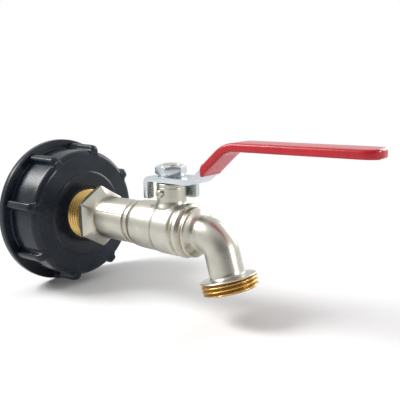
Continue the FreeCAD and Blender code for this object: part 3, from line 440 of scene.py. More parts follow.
def blend_colours(tree, factor, first, second, mode="MIX"):
    """Mix two colours by a factor."""
    made = node(tree, "ShaderNodeMix", data_type="RGBA", blend_type=mode)
    for place, source in ((0, factor), (6, first), (7, second)):
        if isinstance(source, bpy.types.NodeSocket):
            tree.links.new(source, made.inputs[place])
        else:
            made.inputs[place].default_value = source
    return made.outputs[2]


def effect_group(name, scales, results):
    """A node group that reads a place and some scales; returns it with its input and output nodes."""
    group = bpy.data.node_groups.new(name, "ShaderNodeTree")
    socket(group, "Place", "NodeSocketVector", "INPUT")
    for label, value in scales.items():
        socket(group, label, "NodeSocketFloat", "INPUT", value)
    for label in results:
        socket(group, label, "NodeSocketFloat", "OUTPUT")
    entry, leave = group.nodes.new("NodeGroupInput"), group.nodes.new("NodeGroupOutput")
    return group, entry.outputs, leave.inputs


def cast_grain_group():
    """Blasted or moulded skin: a fine grain height, a slow cloudiness and a fleck mask."""
    group, given, wanted = effect_group(
        "cast_grain", {"Grain Scale": 2500.0, "Cloud Scale": 120.0}, ("Height", "Cloud", "Flecks"))
    place, grain, cloud = given["Place"], given["Grain Scale"], given["Cloud Scale"]
    fine = noise(group, place, grain, 2.0)
    slow = noise(group, place, cloud, 4.0, 0.6)
    wave = noise(group, place, sums(group, "MULTIPLY", cloud, 0.45), 1.0)
    height = sums(group, "ADD", sums(group, "MULTIPLY", fine, 0.35), sums(group, "MULTIPLY", wave, 0.65))
    flecks = ramp(group, noise(group, place, sums(group, "MULTIPLY", grain, 0.35), 1.0), 0.68, 0.8)
    for value, label in ((height, "Height"), (slow, "Cloud"), (flecks, "Flecks")):
        group.links.new(value, wanted[label])
    return group


def scratch_group():
    """Handling scratches: thin lines in two directions, as a mask."""
    group, given, wanted = effect_group("handling_scratches", {"Scale": 300.0}, ("Mask",))
    masks = []
    for turn, stretch in (((0.2, 0.4, 0.6), (0.06, 1.0, 1.0)), ((1.1, 0.3, 2.0), (1.0, 0.07, 1.0))):
        laid = node(
            group, "ShaderNodeMapping", ("Vector", given["Place"]), ("Rotation", turn), ("Scale", stretch))
        masks.append(ramp(group, noise(group, laid.outputs[0], given["Scale"], 2.0), 0.66, 0.72))
    group.links.new(sums(group, "MAXIMUM", *masks), wanted["Mask"])
    return group


def place_effect(tree, group, place, **values):
    """Put a shared effect into a material."""
    made = node(tree, "ShaderNodeGroup", node_tree=group)
    tree.links.new(place, made.inputs["Place"])
    for key, value in values.items():
        made.inputs[key.replace("_", " ")].default_value = value
    return made.outputs


def new_material(name):
    """A material with only an output, its Principled shader and the Object coordinates."""
    material = bpy.data.materials.new(name)
    material.use_nodes = True
    tree = material.node_tree
    shader = tree.nodes["Principled BSDF"]
    place = tree.nodes.new("ShaderNodeTexCoord").outputs["Object"]
    return material, tree, shader, place


def bump(tree, shader, height, strength, distance):
    """Drive a shader's normal from a height."""
    made = node(tree, "ShaderNodeBump", ("Height", height), ("Strength", strength), ("Distance", distance))
    tree.links.new(made.outputs[0], shader.inputs["Normal"])


def worn(tree, skin, marks, low, high, wear):
    """Roughness that follows the cloudiness and changes along the scratches."""
    clouded = ramp(tree, skin["Cloud"], 0.3, 0.7, low, high)
    return sums(tree, "ADD", clouded, sums(tree, "MULTIPLY", marks, wear))


def dress(tree, shader, colour, rough, metal=0.0, specular=0.5):
    """Drive a shader's colour and roughness, and set its plain values."""
    tree.links.new(colour, shader.inputs["Base Color"])
    tree.links.new(rough, shader.inputs["Roughness"])
    shader.inputs["Metallic"].default_value = metal
    shader.inputs["Specular IOR Level"].default_value = specular


def four(colour, factor=1.0):
    """A property's colour with alpha, brightened or darkened."""
    return tuple(min(1.0, c * factor) for c in colour) + (1.0,)


# ---------------------------------------------------------------- materials
def cap_plastic(colours, grain, scratches):
    """Glossy moulded black, with slight sink waves, dust flecks and rubbed scratches."""
    material, tree, shader, place = new_material("cap_plastic")
    skin = place_effect(tree, grain, place, Grain_Scale=1600.0, Cloud_Scale=90.0)
    marks = place_effect(tree, scratches, place, Scale=420.0)["Mask"]
    base = four(colours.plastic)
    cloudy = blend_colours(tree, ramp(tree, skin["Cloud"], 0.35, 0.7), base, four(colours.plastic, 1.9))
    dusty = blend_colours(tree, sums(tree, "MULTIPLY", skin["Flecks"], 0.25), cloudy, (0.05, 0.055, 0.06, 1))
    dress(tree, shader, dusty, worn(tree, skin, marks, 0.2, 0.3, 0.12), specular=0.3)
    bump(tree, shader, skin["Height"], 0.12, 0.0003)
    return material


def plain_moulding(grain, name, tone, shade, grains, rough, specular, relief):
    """Matt moulded rubber, or faintly mottled white plastic."""
    material, tree, shader, place = new_material(name)
    skin = place_effect(tree, grain, place, Grain_Scale=grains[0], Cloud_Scale=grains[1])
    mottled = blend_colours(tree, skin["Cloud"], four(tone), four(tone, shade))
    dress(tree, shader, mottled, ramp(tree, skin["Cloud"], 0.3, 0.7, *rough), specular=specular)
    bump(tree, shader, skin["Height"], *relief)
    return material


def satin_nickel(colours, grain, scratches):
    """Blasted, nickel-plated brass: cloudy satin, with painted shade in dark brown over the turned grooves and
    valleys and the taper behind the hexagon.
    """
    material, tree, shader, place = new_material("satin_nickel")
    skin = place_effect(tree, grain, place, Grain_Scale=2200.0, Cloud_Scale=150.0)
    marks = place_effect(tree, scratches, place, Scale=600.0)["Mask"]
    cool = four(colours.nickel)
    cloudy = blend_colours(tree, ramp(tree, skin["Cloud"], 0.3, 0.72), cool, four(colours.nickel, 0.86))
    along = node(tree, "ShaderNodeSeparateXYZ", ("Vector", place)).outputs[0]
    # painted shade: dark brown bands over the taper behind the hexagon, the barrel's groove, the joint and the
    # chamber's two valleys
    groove_shade_bands = 0.0
    for x, reach in (
            (HEX_END, 1.9), (JOINT_X - GROOVE_BACK, 0.7), (JOINT_X, 0.7), (STEM.x + 8.2, 1.3),
            (STEM.x + 13.4, 1.5)):
        away = sums(tree, "ABSOLUTE", sums(tree, "SUBTRACT", along, x * MM), 0.0)
        band = ramp(tree, away, 0.0, reach * MM, 1.0, 0.0)
        groove_shade_bands = sums(tree, "MAXIMUM", groove_shade_bands, band)
    # the painted shade is made patchy by the cloudiness and mixed into the nickel's colour
    patchy_groove_shade = sums(tree, "MULTIPLY", groove_shade_bands, ramp(tree, skin["Cloud"], 0.25, 0.6, 0.25, 0.85))
    groove_shaded_nickel = blend_colours(tree, patchy_groove_shade, cloudy, (0.36, 0.29, 0.19, 1))
    rough = worn(tree, skin, marks, 0.27, 0.36, -0.06)
    rough = sums(tree, "ADD", rough, sums(tree, "MULTIPLY", skin["Flecks"], 0.12))
    dress(tree, shader, groove_shaded_nickel, rough, metal=1.0)
    bump(tree, shader, skin["Height"], 0.22, 0.00035)
    return material


def turned_brass(colours, grain, scratches, name, centre, turn, crest, depth):
    """Bare turned brass: tool lines along the axis and painted shade, a dark brown, down in the thread's roots."""
    material, tree, shader, place = new_material(name)
    laid = node(
        tree, "ShaderNodeMapping", ("Vector", place), ("Location", [c * MM for c in centre]),
        ("Rotation", (0, turn, 0)), vector_type="TEXTURE")
    parts = node(tree, "ShaderNodeSeparateXYZ", ("Vector", laid.outputs[0]))
    across = sums(tree, "POWER", parts.outputs[1], 2.0)
    upright = sums(tree, "POWER", parts.outputs[2], 2.0)
    radius = sums(tree, "SQRT", sums(tree, "ADD", across, upright), 0.0)
    # painted shade: darker brown towards the thread's roots
    root = ramp(tree, radius, (crest - depth) * MM, (crest - depth * 0.25) * MM, 1.0, 0.0)
    skin = place_effect(tree, grain, place, Grain_Scale=2600.0, Cloud_Scale=260.0)
    bright = blend_colours(tree, skin["Cloud"], four(colours.brass), four(colours.brass, 0.8))
    dark = blend_colours(tree, sums(tree, "MULTIPLY", root, 0.85), bright, (0.26, 0.12, 0.03, 1))
    dress(tree, shader, dark, ramp(tree, skin["Cloud"], 0.3, 0.7, 0.2, 0.32), metal=1.0)
    lines = node(
        tree, "ShaderNodeTexWave", ("Vector", laid.outputs[0]), ("Scale", 2600.0), ("Distortion", 0.6),
        wave_type="BANDS", bands_direction="X")
    bump(tree, shader, lines.outputs[1], 0.1, 0.0001)
    return material


def zinc_steel(colours, grain, scratches):
    """Zinc-plated pressed steel: bluish cloudy passivation with drawn lines and scratches."""
    material, tree, shader, place = new_material("zinc_steel")
    skin = place_effect(tree, grain, place, Grain_Scale=2400.0, Cloud_Scale=220.0)
    marks = place_effect(tree, scratches, place, Scale=500.0)["Mask"]
    clouded = ramp(tree, skin["Cloud"], 0.35, 0.65)
    steel = blend_colours(tree, clouded, four(colours.steel), (0.62, 0.63, 0.66, 1))
    dress(tree, shader, steel, worn(tree, skin, marks, 0.2, 0.32, 0.12), metal=1.0)
    drawn = node(tree, "ShaderNodeMapping", ("Vector", place), ("Scale", (0.05, 1.0, 1.0)))
    lines = noise(tree, drawn.outputs[0], 2400.0, 2.0)
    height = sums(tree, "ADD", sums(tree, "MULTIPLY", lines, 0.3), skin["Height"])
    bump(tree, shader, height, 0.14, 0.0002)
    return material


def grip_vinyl(colours, grain, scratches):
    """Dipped red vinyl: glossy skin with slow sags, fine pimples and a few rubbed marks."""
    material, tree, shader, place = new_material("grip_vinyl")
    skin = place_effect(tree, grain, place, Grain_Scale=1400.0, Cloud_Scale=70.0)
    marks = place_effect(tree, scratches, place, Scale=350.0)["Mask"]
    clouded = ramp(tree, skin["Cloud"], 0.35, 0.7)
    red = blend_colours(tree, clouded, four(colours.vinyl), four(colours.vinyl, 1.25))
    dress(tree, shader, red, worn(tree, skin, marks, 0.22, 0.32, 0.1), specular=0.45)
    bump(tree, shader, skin["Height"], 0.16, 0.0004)
    return material


def polished_chrome(colours, grain, scratches):
    """Polished, chrome-plated ball with faint wear scratches."""
    material, tree, shader, place = new_material("polished_chrome")
    skin = place_effect(tree, grain, place, Grain_Scale=2000.0, Cloud_Scale=300.0)
    marks = place_effect(tree, scratches, place, Scale=700.0)["Mask"]
    bright = blend_colours(tree, skin["Cloud"], four(colours.chrome), four(colours.chrome, 0.93))
    dress(tree, shader, bright, sums(tree, "ADD", 0.07, sums(tree, "MULTIPLY", marks, 0.15)), metal=1.0)
    bump(tree, shader, skin["Height"], 0.04, 0.0001)
    return material


FINISH = {}


def make_materials(colours):
    """Build every finish once."""
    grain, scratches = cast_grain_group(), scratch_group()
    shared = (colours, grain, scratches)
    FINISH["plastic"] = cap_plastic(*shared)
    FINISH["rubber"] = plain_moulding(
        grain, "seal_rubber", colours.rubber, 2.2, (3000.0, 200.0), (0.55, 0.75), 0.3, (0.3, 0.0002))
    FINISH["nickel"] = satin_nickel(*shared)
    FINISH["inlet_brass"] = turned_brass(*shared, "inlet_brass", (0, 0, 0), 0.0, THREAD_RADIUS, 1.16)
    FINISH["hose_brass"] = turned_brass(
        *shared, "hose_brass", Vector(HOSE["pos_m"]) / MM, SPOUT_TURN, THREAD_RADIUS, 1.16)
    FINISH["steel"] = zinc_steel(*shared)
    FINISH["vinyl"] = grip_vinyl(*shared)
    FINISH["white"] = plain_moulding(
        grain, "seat_plastic", colours.white, 0.85, (1800.0, 300.0), (0.42, 0.55), 0.5, (0.1, 0.0001))
    FINISH["chrome"] = polished_chrome(*shared)


# ---------------------------------------------------------------- operators, one for each piece or group
class TAP_OT_finishes(bpy.types.Operator):
    """Make the materials and give the inner pieces theirs"""
    bl_idname = "tap.finishes"
    bl_label = "Finishes and inner pieces"

    def execute(self, context):
        make_materials(context.scene.tap_finishes)
        inner = {
            "rubber": ("cap_gasket", "bore_seal", "joint_ring", "inlet_seat_ring", "outlet_seat_ring",
                       "lower_stem_ring", "upper_stem_ring"),
            "white": ("inlet_seat", "outlet_seat", "thrust_washer"),
            "chrome": ("ball",),
        }
        for finish, names in inner.items():
            for name in names:
                mesh = frame["nodes"][name].data
                mesh.materials.clear()
                mesh.materials.append(FINISH[finish])
        return {"FINISHED"}


class TAP_OT_cap(bpy.types.Operator):
    """Build the moulded cap: cup, rim, pad, eight grip ribs and the coarse tank thread"""
    bl_idname = "tap.cap"
    bl_label = "Tank cap"

    def execute(self, context):
        sizes = context.scene.tap_cap
        cup, rim = sizes.cup_radius / MM, sizes.rim_thickness / MM
        front = PAD_FRONT - PAD_HEIGHT
        minor = TANK["dims"]["r_mm"]
        major = minor + TANK_THREAD_DEPTH
        bore, recess = THREAD_RADIUS + 0.05, THREAD_RADIUS + 1.5
        floor = front - CAP_FLOOR
        cap = turned([
            (0.0, minor, 0.5), (0.0, RIM_RADIUS, 0.8), (rim, RIM_RADIUS, 0.8), (rim, cup, 0.7),
            (front, cup, 3.4), (front, 22.9, 0.35), (PAD_FRONT, 22.2, 0.55), (PAD_FRONT, recess, 0.25),
            (PAD_FRONT - 1.8, recess), (PAD_FRONT - 1.8, bore), (floor - 3.0, bore, 0.3),
            (floor - 3.0, 17.5, 0.5), (floor, 17.5, 0.4), (floor, major, 0.5),
            (floor - 3.4, major), (floor - 4.0, minor)], steps=192)
        cap = combined(cap, self.ribs(sizes, cup, front), "UNION")
        cap = combined(cap, self.windows(sizes, cup, rim), "DIFFERENCE")
        cap = combined(cap, self.tank_groove(sizes, minor, major), "DIFFERENCE")
        finish_piece(cap, "cap_moulding", FIXED, "plastic", "tank_cap")
        return {"FINISHED"}

    def angles(self, sizes):
        """Direction of each rib, turned from +Y towards +Z."""
        step = 360.0 / sizes.rib_count
        return [math.radians(RIB_FIRST_ANGLE - step * k) for k in range(sizes.rib_count)]

    def ribs(self, sizes, cup, front):
        """Every rib: a rounded bar with a flared foot, whose front end rolls over into the cup."""
        half = sizes.rib_width / MM / 2
        foot, top = cup - 2.5, cup + RIB_HEIGHT
        rib = bmesh.new()
        wire(rib, [
            (-half - 1.1, foot), (-half - 1.1, cup - 0.3), (-half, cup - 0.1, 0.9), (-half, top, 1.5),
            (half, top, 1.5), (half, cup - 0.1, 0.9), (half + 1.1, cup - 0.3), (half + 1.1, foot)])
        bmesh.ops.rotate(rib, verts=rib.verts, cent=(0, 0, 0), matrix=Matrix.Rotation(math.pi / 2, 3, "Z"))
        bmesh.ops.translate(rib, verts=rib.verts, vec=(RIB_START, 0, 0))
        bmesh.ops.contextual_create(rib, geom=rib.edges[:])
        roll = front - RIB_ROUND
        stations = [(RIB_START + (roll - RIB_START) * k / 6, 0.0) for k in range(1, 7)]
        stations += [(roll + RIB_ROUND * math.sin(t), t) for t in map(math.radians, range(10, 91, 10))]
        last, x, height, width = rib.faces[:], RIB_START, RIB_HEIGHT, 1.0
        for place, turn in stations:
            made = bmesh.ops.extrude_face_region(rib, geom=last)["geom"]
            if x > RIB_START:
                bmesh.ops.delete(rib, geom=last, context="FACES_ONLY")
            verts = split(made)[1]
            last = [part for part in made if isinstance(part, bmesh.types.BMFace)]
            fall = (place - RIB_START) / (front - RIB_START) * RIB_FALL
            target = RIB_HEIGHT - fall - RIB_ROUND * (1 - math.cos(turn))
            slim = 1 - RIB_SLIMMING * (1 - math.cos(turn))
            tall = (cup + target - foot) / (cup + height - foot)
            bmesh.ops.translate(rib, verts=verts, vec=(place - x, 0, -foot))
            bmesh.ops.scale(rib, verts=verts, vec=(1, slim / width, tall))
            bmesh.ops.translate(rib, verts=verts, vec=(0, 0, foot))
            x, height, width = place, target, slim
        bmesh.ops.recalc_face_normals(rib, faces=rib.faces)
        return self.around(rib, self.angles(sizes))

    def around(self, bm, angles):
        """Copies of a shape that stands along +Z, turned about the X axis."""
        mesh = bpy.data.meshes.new("work_copy")
        bm.to_mesh(mesh)
        bm.free()
        out = bmesh.new()
        for angle in angles:
            start = len(out.verts)
            out.from_mesh(mesh)
            out.verts.ensure_lookup_table()
            turn = Matrix.Rotation(angle - math.pi / 2, 3, "X")
            bmesh.ops.rotate(out, verts=out.verts[start:], cent=(0, 0, 0), matrix=turn)
        bpy.data.meshes.remove(mesh)
        return out

    def windows(self, sizes, cup, rim):
        """The two openings for a sealing wire, as cutting blocks."""
        block = bmesh.new()
        along, tall = WINDOW_SIZE
        size = (along, sizes.rib_width / MM + 4, tall)
        place = Matrix.Translation((rim + 0.25 + along / 2, 0, cup + 0.1 + tall / 2))
        bmesh.ops.create_cube(block, size=1.0, matrix=place @ Matrix.Diagonal((*size, 1)))
        angles = self.angles(sizes)
        return self.around(block, [angles[k] for k in WINDOW_RIBS])

    def tank_groove(self, sizes, minor, major):
        """The groove of the coarse thread, as a cutting screw that starts outside the mouth."""
        points = [(-2.26, minor - 0.6), (-0.8, major, 0.3), (0.8, major, 0.3), (2.26, minor - 0.6)]
        bm = helix_skin(points, sizes.thread_pitch / MM, -8.0, 4, 120)
        bmesh.ops.holes_fill(bm, edges=boundary(bm), sides=0)
        bmesh.ops.recalc_face_normals(bm, faces=bm.faces)
        return bm


class TAP_OT_inlet(bpy.types.Operator):
    """Build the inlet: its pipe thread, the forged hexagon, the barrel and the spigot"""
    bl_idname = "tap.inlet"
    bl_label = "Inlet fitting"

    def execute(self, context):
        sizes = context.scene.tap_sizes
        thread_end = PAD_FRONT + 7.2
        hex_start, flat_end = thread_end + 1.9, thread_end + 4.3
        barrel, flats = sizes.barrel_radius / MM, sizes.hexagon / MM / 2
        end = INLET_HIGH.x
        groove, pocket = JOINT_X - GROOVE_BACK, JOINT_X + 11.6
        forging = turned([
            (thread_end, INLET_BORE), (thread_end, THREAD_RELIEF, 0.25), (hex_start, THREAD_RELIEF, 0.3),
            (hex_start, flats), (flat_end, flats), (HEX_END, barrel), (groove - 0.42, barrel, 0.2),
            (groove - 0.14, barrel - 0.5, 0.1), (groove + 0.14, barrel - 0.5, 0.1),
            (groove + 0.42, barrel, 0.2), (JOINT_X - 0.5, barrel + 0.2, 0.2), (JOINT_X, barrel - 0.25, 0.1),
            (JOINT_X, SPIGOT_RADIUS), (end, SPIGOT_RADIUS, 0.3), (end, SEAT_POCKET), (pocket, SEAT_POCKET),
            (pocket, 5.2), (end - 8.2, 5.2), (end - 10.6, INLET_BORE)],
            steps=240, longest=0.2, test=lambda e: self.in_hexagon(e, hex_start))
        for vert in forging.verts:
            radius = math.hypot(vert.co.y, vert.co.z)
            if radius < SPIGOT_RADIUS + 0.1:
                continue
            on_hexagon = hex_start - 1e-4 <= vert.co.x <= HEX_END and radius > THREAD_RELIEF + 0.4
            if on_hexagon or radius > barrel + 0.3:
                set_radius(vert, self.hexagon_radius(vert.co, hex_start, flat_end, flats, barrel))
            elif flat_end < vert.co.x < JOINT_X - 0.6:
                self.raise_parting(vert, sizes.parting_height / MM)
        bmesh.ops.recalc_face_normals(forging, faces=forging.faces)
        finish_piece(forging, "inlet_forging", FIXED, "nickel", "inlet_fitting", crease=26)
        thread = male_thread(
            INLET_LOW.x, thread_end, THREAD_RADIUS, sizes.thread_depth / MM, sizes.thread_pitch / MM,
            INLET_BORE, end_bevel=0.9, start_bevel=0.9)
        finish_piece(thread, "inlet_thread", FIXED, "inlet_brass", "inlet_fitting")
        return {"FINISHED"}

    def in_hexagon(self, edge, start):
        """Whether an edge of the outline lies on the hexagon or its taper."""
        return all(start - 0.01 < v.co.x < HEX_END + 0.01 and v.co.z > 10 for v in edge.verts)

    def hexagon_radius(self, point, start, flat_end, flats, barrel):
        """Distance from the axis to the chamfered hexagon, and to its taper down to the barrel."""
        corner = flats / math.cos(math.radians(30))
        turn = math.atan2(-point.y, point.z) % math.radians(60) - math.radians(30)
        side = min(flats / math.cos(turn), corner - 0.22)
        side = min(side, corner - 1.73 + (point.x - start) / 0.6)
        if point.x > flat_end:
            side = barrel + (side - barrel) * (1 - (point.x - flat_end) / (HEX_END - flat_end)) ** 1.55
        return side

    def raise_parting(self, vert, height):
        """Lift the narrow line that the two halves of the forging die leave."""
        angle = math.degrees(math.atan2(-vert.co.y, vert.co.z)) % 180
        if abs(angle - PARTING_ANGLE) < 0.8:
            set_radius(vert, math.hypot(vert.co.y, vert.co.z) + height)


class TAP_OT_body(bpy.types.Operator):
    """Build the body: ball chamber, stem neck, elbow and spout in one forging, and its hose thread"""
    bl_idname = "tap.body"
    bl_label = "Valve body"

    def execute(self, context):
        sizes = context.scene.tap_sizes
        pipe, swell = sizes.pipe_radius / MM, sizes.chamber_radius / MM
        neck, parting = sizes.neck_radius / MM, sizes.parting_height / MM
        crest, depth, stem = THREAD_RADIUS, sizes.thread_depth / MM, STEM.x
        outer = self.skin([
            (JOINT_X, swell - 2.05), (JOINT_X + 0.4, swell - 1.6, 0.2), (JOINT_X + 2.0, swell - 1.0, 0.8),
            (JOINT_X + 6.0, swell - 0.7, 1.5), (stem - 4.5, swell - 0.5, 0.5), (stem - 2.8, swell - 0.05, 0.6),
            (stem + 6.4, swell, 0.8), (stem + 7.7, swell - 0.75, 0.35), (stem + 8.6, swell - 0.75, 0.3),
            (stem + 9.7, swell + 0.1, 0.6), (stem + 11.6, swell + 0.1, 0.5), (stem + 12.9, swell - 1.35, 0.4),
            (stem + 14.0, swell - 1.35, 0.3), (stem + 14.7, swell - 0.75, 0.5), (stem + 15.8, swell - 0.75, 0.8),
            (stem + 17.3, pipe + 1.2, 0.8), (stem + 18.4, pipe, 0.7), (BEND_START, pipe)], 0.45)
        self.follow_spout(outer, [
            (10.5, pipe), (13.5, pipe), (16.5, pipe), (17.9, pipe), (18.25, pipe + 0.12), (18.55, pipe + 0.42),
            (18.75, pipe + 0.9), (18.85, pipe + 1.5), (18.95, crest - 1.2), (19.05, crest - 0.6),
            (19.2, crest - 0.3), (19.45, crest - 0.12), (19.7, crest - 0.2), (THREAD_START, crest - depth)])
        spigot = SPIGOT_RADIUS + 0.05
        inner = self.skin([
            (JOINT_X, spigot), (JOINT_X + 14.0, spigot), (JOINT_X + 14.0, CAVITY_RADIUS),
            (stem + 6.8, CAVITY_RADIUS), (stem + 6.8, SEAT_POCKET), (stem + 9.0, SEAT_POCKET),
            (stem + 9.0, BODY_BORE), (BEND_START, BODY_BORE)], 3.0)
        self.follow_spout(inner, [(13.0, BODY_BORE), (THREAD_START, BODY_BORE)])
        take_in(outer, inner)
        far = SPOUT_CORNER + SPOUT_WAY * THREAD_START
        bmesh.ops.bridge_loops(outer, edges=boundary(outer, lambda p: abs(p.x - JOINT_X) < 0.01))
        bmesh.ops.bridge_loops(outer, edges=boundary(outer, lambda p: (p - far).length < 20))
        bmesh.ops.recalc_face_normals(outer, faces=outer.faces)
        body = combined(outer, self.neck(neck, swell), "UNION")
        relax(body, lambda p: self.near_foot(p, neck, swell), 9)
        body = combined(body, self.bar(4.05, (stem, 0, 4.0), (stem, 0, NECK_TOP + 2)), "DIFFERENCE")
        middle = sum(box_mm("stop_pin"), Vector()) / 2
        away = Vector((middle.x - stem, middle.y, 0)).normalized()
        start = Vector((stem, 0, middle.z)) + away * (neck - 0.6)
        body = combined(body, self.bar(1.95, start, start + away * 3), "DIFFERENCE")
        for vert in body.verts:
            self.raise_parting(vert, parting, pipe)
        finish_piece(body, "body_forging", FIXED, "nickel", "valve_body", crease=38)
        thread = male_thread(
            THREAD_START - 0.05, THREAD_END, crest, depth, sizes.thread_pitch / MM, BODY_BORE, end_bevel=0.7)
        bmesh.ops.rotate(
            thread, verts=thread.verts, cent=(0, 0, 0), matrix=Matrix.Rotation(SPOUT_TURN, 3, "Y"))
        bmesh.ops.translate(thread, verts=thread.verts, vec=SPOUT_CORNER)
        finish_piece(thread, "hose_thread", FIXED, "hose_brass", "valve_body")
        return {"FINISHED"}

    def skin(self, points, longest):
        """An open skin of revolution round the waterway."""
        bm = bmesh.new()
        wire(bm, points, closed=False)
        divide(bm, longest)
        turn_full(bm, AXIS_X, 192)
        return bm

    def follow_spout(self, bm, stations):
        """Carry the skin's far edge round the bend and down the spout through (distance, radius) stations."""
        edges = boundary(bm, lambda p: abs(p.x - BEND_START) < 0.01)
        verts = list({v for e in edges for v in e.verts})
        made = bmesh.ops.spin(
            bm, geom=verts + edges, cent=(BEND_START, 0, -BEND_RADIUS), axis=AXIS_Y, dvec=(0, 0, 0),
            angle=SPOUT_TURN, steps=26, use_merge=False, use_duplicate=False)["geom_last"]
        edges, verts = split(made)
        at = BEND_TANGENT
        radius = (verts[0].co - SPOUT_CORNER - SPOUT_WAY * at).length
        for place, size in stations:
            edges, verts = carry(bm, edges)
            centre = SPOUT_CORNER + SPOUT_WAY * at
            bmesh.ops.scale(bm, verts=verts, vec=(size / radius,) * 3, space=Matrix.Translation(-centre))
            bmesh.ops.translate(bm, verts=verts, vec=SPOUT_WAY * (place - at))
            at, radius = place, size

    def neck(self, radius, swell):
        """The boss for the stem: a closed ring from inside the chamber's wall to the neck's top."""
        foot = math.sqrt(swell ** 2 - radius ** 2)
        top = NECK_TOP
        return turned([
            (2.5, foot - 1.0), (radius + 1.3, foot - 1.0), (radius + 1.0, foot + 0.4, 0.5),
            (radius, foot + 2.4, 0.9), (radius, top - 2.2, 0.1), (radius - 0.12, top - 2.0, 0.1),
            (radius - 0.12, top - 1.7, 0.1), (radius, top - 1.5, 0.1), (radius, top, 0.45), (2.5, top)],
            steps=112, axis=AXIS_Z, origin=(STEM.x, 0, 0), longest=0.5)

    def near_foot(self, point, neck, swell):
        """Whether a point lies on the crease between the neck and the chamber."""
        from_stem = math.hypot(point.x - STEM.x, point.y)
        from_way = math.hypot(point.y, point.z)
        return point.z > 5 and abs(from_stem - neck) < 2.2 and swell - 1.2 < from_way < swell + 1.9

    def bar(self, radius, start, end):
        """A round cutting bar between two points."""
        start, end = Vector(start), Vector(end)
        way = end - start
        place = Matrix.Translation((start + end) / 2) @ way.to_track_quat("Z", "Y").to_matrix().to_4x4()
        return round_bar(radius, way.length, place, 64)

    def raise_parting(self, vert, height, pipe):
        """Lift the die's parting line, which runs along both sides of the pipe and the elbow."""
        if vert.co.x < STEM.x + 18.5 or abs(vert.co.y) < pipe - 0.02:
            return
        if abs(abs(vert.co.y) - pipe) < 0.02:
            vert.co.y += math.copysign(height * 0.6, vert.co.y)


class TAP_OT_lever(bpy.types.Operator):
    """Build the pressed lever and its fastenings: stem, washer, nut and stop pin"""
    bl_idname = "tap.lever"
    bl_label = "Lever, stem and nut"

    def execute(self, context):
        sizes = context.scene.tap_lever
        sheared, edged = sizes.sheared_edge / MM, sizes.nut_edge / MM
        for node_name, piece, body, finish, width, segments, sharp, crease in (
                ("lever_plate", "lever_pressing", TURNING, "steel", sheared, 3, 30, 32),
                ("handle_nut", "stem_nut", TURNING, "steel", edged, 2, 22, 40),
                ("lock_washer", "nut_washer", TURNING, "steel", 0.12, 2, 30, 32),
                ("stem", "plated_stem", TURNING, "nickel", 0.15, 2, 30, 32),
                ("stop_pin", "stop_rivet", FIXED, "nickel", 0.1, 2, 30, 32)):
            finish_piece(softened(node_name, width, segments, sharp), piece, body, finish, node_name, crease)
        return {"FINISHED"}


